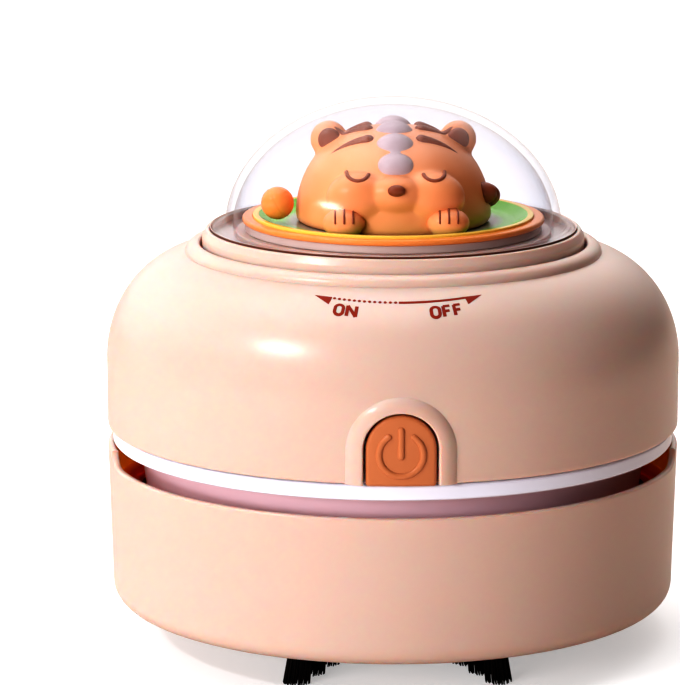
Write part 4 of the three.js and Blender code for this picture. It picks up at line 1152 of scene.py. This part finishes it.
def filter_parts():
    """The filter's frame, with rounded rim, hub, spokes and pull tab, and its felt disc over it."""
    high = filter_high.z
    outer = filter_high.x
    rim = turned_ring("filter_frame_moulding", outer - 2.0, outer, FILTER_LOW, high, 0.4, 0.3, white_abs)
    hub = turned_ring("hub", 0.0, 4.0, FILTER_LOW, high, 0.4, 0.3, white_abs, segments=64)
    spokes = [radial_block(3.0, outer - 1.0, 1.0, FILTER_LOW, high - 0.2, BACK + 60 * i, white_abs,
                           edge=0.25) for i in range(6)]
    tab = radial_block(15.0, 25.0, 0.7, filter_low.z, FILTER_LOW + 0.9, BACK, white_abs, 0.5, 0.25)
    settle_joined([rim, hub, *spokes, tab], "housing", "white_plastic", "filter_frame")
    disc = turned_ring("filter_felt_disc", 0.0, cloth_high.x, cloth_low.z, cloth_high.z, 0.3, 0.4, felt)
    settle(disc, "housing", "filter_cloth", "filter_cloth")


def usb_socket():
    """The drawn steel shell of the charging socket with its tongue and contact strips."""
    middle_z = (socket_low.z + socket_high.z) / 2
    width = socket_high.x - socket_low.x
    height = socket_high.z - socket_low.z
    back = socket_low.y
    front = socket_high.y
    rings = []
    for (x, z), (x_in, z_in) in zip(rounded_box_outline(width, height, height / 2 - 0.01, 12),
                                    rounded_box_outline(width - 0.6, height - 0.6, height / 2 - 0.31, 12)):
        section = [(x, back, z), (x, front - 0.1, z), ((x + x_in) / 2, front, (z + z_in) / 2),
                   (x_in, front - 0.1, z_in), (x_in, back + 0.6, z_in), (0.0, back + 0.6, 0.0),
                   (0.0, back, 0.0)]
        rings.append([(across, y, middle_z + up) for across, y, up in section])
    shell = loft("usb_socket_shell", rings, plated_steel)
    weld(shell)
    inside = [cross_bar(rounded_box_outline(6.6, 0.7, 0.2, 3), back + 0.5, back + 4.6, middle_z, black_abs)]
    pin = rounded_box_outline(0.26, 0.06, 0.02, 2)
    for side in (-1, 1):
        for i in range(8):
            inside.append(cross_bar(pin, back + 0.8, back + 4.2, middle_z + side * 0.36, turned_brass,
                                    (i - 3.5) * 0.7))
    settle_joined([shell, *inside], "housing", "zinc_steel", "usb_socket")


def weld(piece, reach=1e-7):
    """Merges points that lie together and turns the faces out."""
    work = bmesh.new()
    work.from_mesh(piece.data)
    bmesh.ops.remove_doubles(work, verts=work.verts, dist=reach)
    work.to_mesh(piece.data)
    work.free()
    face_out(piece.data)
    shade(piece)


# Dome cap
CAP_RIM_INNER = 27.45
CAP_LEDGE_INNER = 23.6
CAP_LEDGE = dome_low.z - FIT
CAP_DECK = base_low.z - FIT
CAP_THICKNESS = 2.2


def cap_base():
    """The peach collar that holds the dome, with its locking grooves under the rim and a thin ring at the
    flange, painted dark brown outside as the shadow of the gap.
    """
    radius = cap_high.x
    top = cap_high.z
    under = CAP_DECK - CAP_THICKNESS
    body = lathe("cap_collar_moulding", filleted([
        (0.0, under),
        (radius - CAP_THICKNESS, under, 0.3),
        (radius - CAP_THICKNESS, cap_low.z, 0.2),
        (radius, cap_low.z, 0.3),
        (radius, top - 1.1, 0.5),
        (CAP_RIM_INNER + 0.55, top, 0.35),
        (CAP_RIM_INNER, top, 0.18),
        (CAP_RIM_INNER, CAP_LEDGE, 0.1),
        (CAP_LEDGE_INNER, CAP_LEDGE, 0.1),
        (CAP_LEDGE_INNER, CAP_DECK, 0.25),
        (0.0, CAP_DECK),
    ]), peach_abs)
    cutters = []
    for angle in LUG_ANGLES:
        for end, low, high in ((angle + 8, LUG_LOW - FIT, LUG_LOW + LUG_HEIGHT + FIT),
                               (angle - 22, cap_low.z - 1, LUG_LOW)):
            cutters.append(sector(LUG_REACH - FIT, radius + 1, angle - 38, end, low, high, peach_abs))
    cut(body, *cutters)
    # A thin ring in the gap between flange and collar, there to carry a painted shadow line
    shadow_ring_inner = dome_high.x + 0.02
    shadow_ring_outer = CAP_RIM_INNER - 0.02
    shadow_ring = lathe("shadow_ring", filleted([
        (shadow_ring_inner, top - 0.3),
        (shadow_ring_outer, top - 0.3),
        (shadow_ring_outer, top + 0.3, 0.03),
        (shadow_ring_outer - 0.1, top + 0.3, 0.03),
        (shadow_ring_inner, top + 0.05),
    ]), painted_shadow_brown)
    # Painted shadow: the ring's outward faces stay dark brown, as the gap's shade reads from the front; its
    # inner and top faces take the smoky styrene
    shadow_ring.data.materials.append(smoky_styrene)
    for face in shadow_ring.data.polygons:
        outward = face.normal.x * face.center.x + face.normal.y * face.center.y
        if outward < 0 or face.normal.z > 0.5:
            face.material_index = 1
    settle_joined([body, shadow_ring], "dome_cap", "peach_plastic", "cap_base")


DOME_WALL = 1.2
DOME_RADIUS = 25.2
DOME_FLANGE = 0.8


def clear_dome():
    """The moulded clear dome: a stepped flange, a near upright foot and a round crown."""
    base = dome_low.z + DOME_FLANGE
    flange = dome_high.x
    height = dome_high.z - base
    inner = DOME_RADIUS - DOME_WALL
    steps = filleted([
        (inner, dome_low.z),
        (flange, dome_low.z, 0.12),
        (flange, base + 0.3, 0.2),
        (flange - 0.6, base + 0.3, 0.12),
        (flange - 0.6, base + 0.5, 0.12),
        (flange - 1.25, base + 0.5, 0.12),
        (flange - 1.25, base + 0.72, 0.12),
        (DOME_RADIUS, base + 0.72),
    ], step=20.0, support=0.05)[:-1]
    crown = arc(0.0, base, DOME_RADIUS, height, 4, 90, 48)
    hollow = arc(0.0, base, inner, height - DOME_WALL, 90, 0, 48)
    dome = lathe("clear_dome_moulding", steps + crown + hollow, acrylic)
    settle(dome, "dome_cap", "clear_plastic", "clear_dome")


TRAY_FLOOR = dish_low.z + 0.15
DISH_EDGE = 0.75


def display_tray():
    """The smoky base, the orange rim with its yellow lip, and the green dish."""
    foot = CAP_DECK + 0.02
    top = rim_low.z - 0.01
    base = lathe("tray_base_disc", filleted([
        (0.0, foot), (base_high.x, foot, 0.2), (base_high.x - 0.3, top, 0.1), (0.0, top)]), smoky_styrene)
    settle(base, "dome_cap", "tray_brown", "tray_base")
    inner = dish_high.x + 0.03
    top = rim_high.z - 0.2
    rim = lathe("tray_rim_moulding", filleted([
        (inner, rim_low.z, 0.1), (rim_high.x, rim_low.z, 0.4), (rim_high.x, top, 0.4), (inner, top, 0.1)],
        step=9.0), orange_enamel)
    settle(rim, "dome_cap", "tray_orange", "tray_rim")
    outer = dish_high.x
    top = dish_high.z
    dish = lathe("tray_dish_moulding", filleted([
        (0.0, dish_low.z), (outer, dish_low.z, 0.1), (outer, top, 0.15), (outer - DISH_EDGE, top, 0.2),
        (outer - 3.0, TRAY_FLOOR, 1.5), (0.0, TRAY_FLOOR)], step=8.0), dish_green)
    paint(dish, yellow_enamel, lambda reach, z: reach > outer - DISH_EDGE - 0.1 and z > top - 0.9)
    settle(dish, "dome_cap", "tray_green", "tray_dish")


# Figure: a sleeping tiger cub of a plain design made for this part
FIGURE_RADIUS = 14.6
FIGURE_HEIGHT = 13.6
FIGURE_FOOT = figure_low.z
BODY_DEPTHS = (1.06, 0.94)
PAW = (7.6, -14.6, 1.3)
PAW_RADII = (3.1, 2.9, 2.2)
# For each pair of stripes on the crown: how far back it starts, and how far it runs to the side
STRIPES = ((-6.4, 6.2), (-1.6, 5.6), (3.4, 6.4), (8.0, 6.0))


def ellipsoid(name, centre, radii, material, turn=0.0):
    """A ball squashed to three radii and turned about Z. centre's height counts from the figure's foot."""
    ball = lathe(name, arc(0.0, 0.0, 1.0, 1.0, -90, 90, 32), material, segments=48, smooth_angle=60.0)
    ball.data.transform(Matrix.Rotation(math.radians(turn), 4, "Z") @ Matrix.Diagonal((*radii, 1.0)))
    return shift(ball, centre[0], centre[1], FIGURE_FOOT + centre[2])


def body_point(angle):
    """(radius, height) on the body's side, from its foot at 0 degrees to its crown at 90."""
    turn = math.radians(angle)
    return FIGURE_RADIUS * abs(math.cos(turn)) ** 0.78, FIGURE_HEIGHT * math.sin(turn) ** 1.02


def loaf():
    """The cub's round body and head in one: full below, drawn in to the crown, flat where it sits."""
    outline = [(0.0, TRAY_FLOOR), (FIGURE_RADIUS - 0.5, TRAY_FLOOR), (FIGURE_RADIUS, FIGURE_FOOT)]
    for i in range(36):
        radius, height = body_point(2.5 * i)
        outline.append((radius, FIGURE_FOOT + 0.35 + height * (1 - 0.35 / FIGURE_HEIGHT)))
    outline.append((0.0, FIGURE_FOOT + FIGURE_HEIGHT))
    body = lathe("loaf", outline, vinyl_orange, segments=72, smooth_angle=60.0)
    for vert in body.data.vertices:
        vert.co.y *= BODY_DEPTHS[vert.co.y >= 0]
    return body


def voxel_joined(pieces, name, voxel, smoothing):
    """Melts overlapping pieces into one skin and smooths the joins."""
    whole = merge(pieces)
    whole.name = name
    remesh = whole.modifiers.new("skin", "REMESH")
    remesh.mode = "VOXEL"
    remesh.voxel_size = voxel * MM
    smooth = whole.modifiers.new("soften", "SMOOTH")
    smooth.factor = 0.5
    smooth.iterations = smoothing
    return baked(whole, 80.0)


def skin_tree(piece):
    """A tree for casting rays on a piece's mesh."""
    work = bmesh.new()
    work.from_mesh(piece.data)
    tree = BVHTree.FromBMesh(work)
    work.free()
    return tree


def on_skin(tree, start, way, lift):
    """The point of the skin that a ray from start meets, lifted a little, or None. In millimetres."""
    spot, normal, _, _ = tree.ray_cast(Vector(start) * MM, Vector(way))
    return None if spot is None else tuple(spot / MM + normal * lift)


def tiger_cub():
    """The cub on the tray: one melted skin for body, cheeks, ears and muzzle, with details on it."""
    skin = [loaf()]
    for side in (-1, 1):
        skin.append(ellipsoid("cheek", (side * 5.2, -12.0, 4.6), (5.0, 3.9, 3.9), vinyl_orange))
        skin.append(ellipsoid("ear", (side * 9.6, 0.6, 11.4), (2.9, 1.7, 2.9), vinyl_orange, side * 12))
    skin.append(ellipsoid("muzzle", (0.0, -13.4, 5.2), (4.4, 3.0, 2.9), vinyl_orange))
    body = voxel_joined(skin, "tiger_cub_body", 0.3, 14)
    tree = skin_tree(body)
    extras = []
    for side in (-1, 1):
        extras.append(ellipsoid("paw", (side * PAW[0], PAW[1], PAW[2]), PAW_RADII, vinyl_orange))
        extras.append(ellipsoid("ear_inside", (side * 9.55, -0.7, 11.5), (1.75, 0.75, 1.8), vinyl_brown,
                                side * 12))
        eye = [on_skin(tree, (x, -60.0, z), (0.0, 1.0, 0.0), -0.05)
               for x, z in arc(side * 5.6, FIGURE_FOOT + 8.6, 1.7, 1.1, 200, 340, 12)]
        extras.append(tube("eye", eye, 0.3))
        for k in (-1, 0, 1):
            extras.append(tube("toe", toe_path(side * PAW[0], k * 1.3), 0.16))
        for y, reach in STRIPES:
            stripe = []
            for i in range(15):
                share = i / 14
                start = (side * (4.0 + reach * share), y + 1.2 * share, 200.0)
                stripe.append(on_skin(tree, start, (0.0, 0.0, -1.0), -0.35))
            extras.append(tube("stripe", stripe, 1.0, taper=0.25))
    extras.append(ellipsoid("nose", (0.0, -16.3, 6.3), (1.3, 0.8, 0.85), vinyl_brown))
    settle_joined([body, *extras, crest(), *cub_tail()], "dome_cap", "figure_orange", "tiger_figure",
                  smooth_angle=60.0)


def toe_path(x_middle, across):
    """A line over the front of a paw's ball, at a distance across from its middle."""
    fade = math.sqrt(1 - (across / PAW_RADII[0]) ** 2)
    front = arc(0.0, 0.0, PAW_RADII[1] * fade, PAW_RADII[2] * fade, 12, 74, 6)
    return [(x_middle + across, PAW[1] - forward, FIGURE_FOOT + PAW[2] + up) for forward, up in front]


def crest():
    """The pale ridge from the brow over the crown, in soft lobes."""
    lobes = []
    for i in range(6):
        angle = 44 + 19 * i
        radius, height = body_point(angle)
        reach = 0.9 * radius * BODY_DEPTHS[angle > 90]
        lobes.append(ellipsoid("lobe", (0.0, reach if angle > 90 else -reach, 0.9 * height), (3.1, 2.5, 2.6),
                               vinyl_lavender))
    return voxel_joined(lobes, "crest", 0.3, 4)


def tube(name, path, radius, taper=1.0, sides=14):
    """A round brown stroke through points, with round ends. taper is the radius's share at the far end."""
    rings = []
    across = None
    for point, along, width in stations_along(path, radius, taper, quarter=4.3):
        if across is None:
            across = along.orthogonal().normalized()
        across = (across - along * across.dot(along)).normalized()
        other = along.cross(across)
        rings.append([tuple(point + (across * math.cos(a) + other * math.sin(a)) * width)
                      for a in (math.tau * k / sides for k in range(sides))])
    return loft(name, rings, vinyl_brown, closed=False, smooth_angle=60.0)


def cub_tail():
    """The ribbed tail, curled forward at the cub's right."""
    ribs = []
    for i in range(7):
        share = i / 6
        angle = 28 - 46 * share
        turn = math.radians(angle)
        place = (14.058 * math.cos(turn), 14.0 * math.sin(turn), 1.9 + 2.2 * share ** 1.4)
        ribs.append(ellipsoid("rib", place, (1.9, 1.25, 1.85 - 0.25 * share), vinyl_brown, angle))
    return ribs


def toy_ball():
    """The orange ball beside the cub, with its moulding seam."""
    radius = (ball_high.x - ball_low.x) / 2
    outline = []
    for i in range(49):
        angle = -90 + 180 * i / 48
        reach = radius - 0.06 * math.exp(-(angle / 2.6) ** 2)
        outline.append((reach * math.cos(math.radians(angle)), reach * math.sin(math.radians(angle))))
    ball = lathe("toy_ball_moulding", outline, orange_enamel, segments=64, smooth_angle=60.0)
    ball.data.transform(Matrix.Rotation(math.radians(62), 4, "Y"))
    settle(shift(ball, *((ball_low + ball_high) / 2)), "dome_cap", "tray_orange", "toy_ball")


def shell_screws():
    """Cross-head screws that show under the deck when the housing is lifted."""
    for i in range(4):
        low, high = box_mm(f"shell_screw_{i + 1}")
        middle = (low + high) / 2
        screw = lathe(f"shell_screw_turned_{i + 1}", filleted([
            (0.0, low.z), (1.5, low.z, 0.3), (1.9, low.z + 0.4, 0.2), (1.9, low.z + 0.9, 0.1),
            (0.8, low.z + 0.9), (0.8, high.z, 0.2), (0.0, high.z)]), plated_steel, segments=40)
        slots = [rounded_box_outline(length, width, 0.05, 2) for length, width in ((1.7, 0.42), (0.42, 1.7))]
        cut(screw, *[prism("slot", outline, low.z - 1, low.z + 0.5, plated_steel) for outline in slots])
        settle(shift(screw, middle.x, middle.y), "housing", "zinc_steel", f"shell_screw_{i + 1}")


# Inner nodes that are shown as their own solids, each with its material
KEPT_NODES = {
    white_abs: ("fan_cover", "motor_strap", "impeller"),
    plated_steel: ("motor_can", "motor_shaft", "strap_screw_1", "strap_screw_2"),
    black_abs: ("motor_end_cap", "cell_holder", "charge_chip", "charge_coil", "switch_body"),
    pvc_sleeve: ("battery_cell",),
    rolled_nickel: ("cell_contact_left", "cell_contact_right"),
    fr4_board: ("charge_board", "switch_board"),
    turned_brass: ("switch_plunger",),
}


def dress_kept_nodes():
    """Gives the kept solids their materials."""
    for material, names in KEPT_NODES.items():
        for name in names:
            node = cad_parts[name]
            if not node.material_slots:
                node.data.materials.append(material)
            for material_slot in node.material_slots:
                material_slot.material = material


# Camera, floor and light
TARGET = Vector((0.0, 0.0, SEAM))
CAMERA_DISTANCE = 550.0
CAMERA_ELEVATION = 12.66
CAMERA_AZIMUTH = -1.58
CAMERA_ROLL = 0.15
SENSOR = 36.0
FRAME_LONG_SIDE = 685
TARGET_PIXEL = (392.8, 417.6)
FRAME_CENTRE = (340.0, 342.5)
MM_PER_PIXEL = BODY_RADIUS / 283.9
BODY_MIDDLE = Vector((0.0, 0.0, 0.045))
FLOOR_REACH = 4.0
FLOOR_LIFT = 0.28
SKY_WAY = (-0.2, 0.64, 0.74)


def add_camera():
    """The photograph's view: a far camera, a little above and to the left, shifted to the photo's frame."""
    data = bpy.data.cameras.new("photo_view")
    data.sensor_width = SENSOR
    data.lens = SENSOR * CAMERA_DISTANCE / MM_PER_PIXEL / FRAME_LONG_SIDE
    data.shift_x = (FRAME_CENTRE[0] - TARGET_PIXEL[0]) / FRAME_LONG_SIDE
    data.shift_y = (TARGET_PIXEL[1] - FRAME_CENTRE[1]) / FRAME_LONG_SIDE
    data.clip_start = 0.01
    camera = placed("photo_view", data)
    flat = math.cos(math.radians(CAMERA_ELEVATION)) * CAMERA_DISTANCE
    rise = math.sin(math.radians(CAMERA_ELEVATION)) * CAMERA_DISTANCE
    turn = math.radians(CAMERA_AZIMUTH)
    place = TARGET + Vector((math.sin(turn) * flat, -math.cos(turn) * flat, rise))
    camera.location = place * MM
    look = (TARGET - place).to_track_quat("-Z", "Y")
    roll = Matrix.Rotation(math.radians(CAMERA_ROLL), 3, "Z")
    camera.rotation_euler = (look.to_matrix() @ roll).to_euler()
    bpy.context.scene.camera = camera


def add_lamp(name, place, size, power, mirrored=True):
    """A soft oval lamp that looks at the body's middle, in metres. mirrored lets gloss show it."""
    data = bpy.data.lights.new(name, "AREA")
    data.shape = "ELLIPSE"
    data.size = size[0]
    data.size_y = size[1]
    data.energy = power
    lamp = placed(name, data)
    lamp.location = place
    lamp.rotation_euler = (BODY_MIDDLE - Vector(place)).to_track_quat("-Z", "Y").to_euler()
    lamp.visible_glossy = mirrored


def pale_floor():
    """A wide pale table that looks white to the camera and throws a warmer light back up."""
    def sockets(tree):
        seen = add_node(tree, "ShaderNodeLightPath").outputs["Is Camera Ray"]
        return {
            "Base Color": mixed(tree, seen, "#E1D2C7", "#E4E4E6"),
            "Roughness": 0.9,
            "Specular IOR Level": 0.1,
            "Emission Color": linear("#FFFFFF"),
            "Emission Strength": spread(tree, seen, 0.0, FLOOR_LIFT),
        }
    mesh = bpy.data.meshes.new("floor")
    corners = ((-1, -1), (1, -1), (1, 1), (-1, 1))
    mesh.from_pydata([(x * FLOOR_REACH, y * FLOOR_REACH, 0.0) for x, y in corners], [], [[0, 1, 2, 3]])
    mesh.materials.append(principled("floor_paper", sockets))
    floor = placed("floor", mesh)


def studio():
    """The pale floor, a soft sky over the back, and soft lamps from the front left and above."""
    pale_floor()
    world = bpy.data.worlds.new("studio")
    bpy.context.scene.world = world
    world.use_nodes = True
    tree = world.node_tree
    tree.nodes.clear()
    way = add_node(tree, "ShaderNodeTexCoord").outputs["Generated"]
    lean = add_node(tree, "ShaderNodeVectorMath", {0: way, 1: SKY_WAY}, operation="DOT_PRODUCT")
    strength = spread(tree, lean.outputs["Value"], 0.03, 1.0, 0.35, 0.9, interpolation_type="SMOOTHSTEP")
    sky = add_node(tree, "ShaderNodeBackground", {"Color": linear("#FFF8F4"), "Strength": strength})
    add_node(tree, "ShaderNodeOutputWorld", {"Surface": sky.outputs["Background"]})
    add_lamp("key", (-0.57, -0.415, 0.60), (0.27, 0.06), 1.65)
    add_lamp("soft", (-0.62, -0.78, 0.22), (0.7, 0.4), 5.8, mirrored=False)
    add_lamp("top", (-0.15, 0.15, 0.95), (0.9, 0.9), 1.7)
    bpy.context.scene.view_settings.view_transform = "Standard"
    bpy.context.scene.view_settings.look = "Very High Contrast"


add_camera()
studio()
dust_cup()
suction_nozzle()
brush_strips()
seal_ring()
motor_deck()
filter_parts()
upper_shell()
printed_marks()
power_button()
usb_socket()
shell_screws()
cap_base()
clear_dome()
display_tray()
tiger_cub()
toy_ball()
dress_kept_nodes()
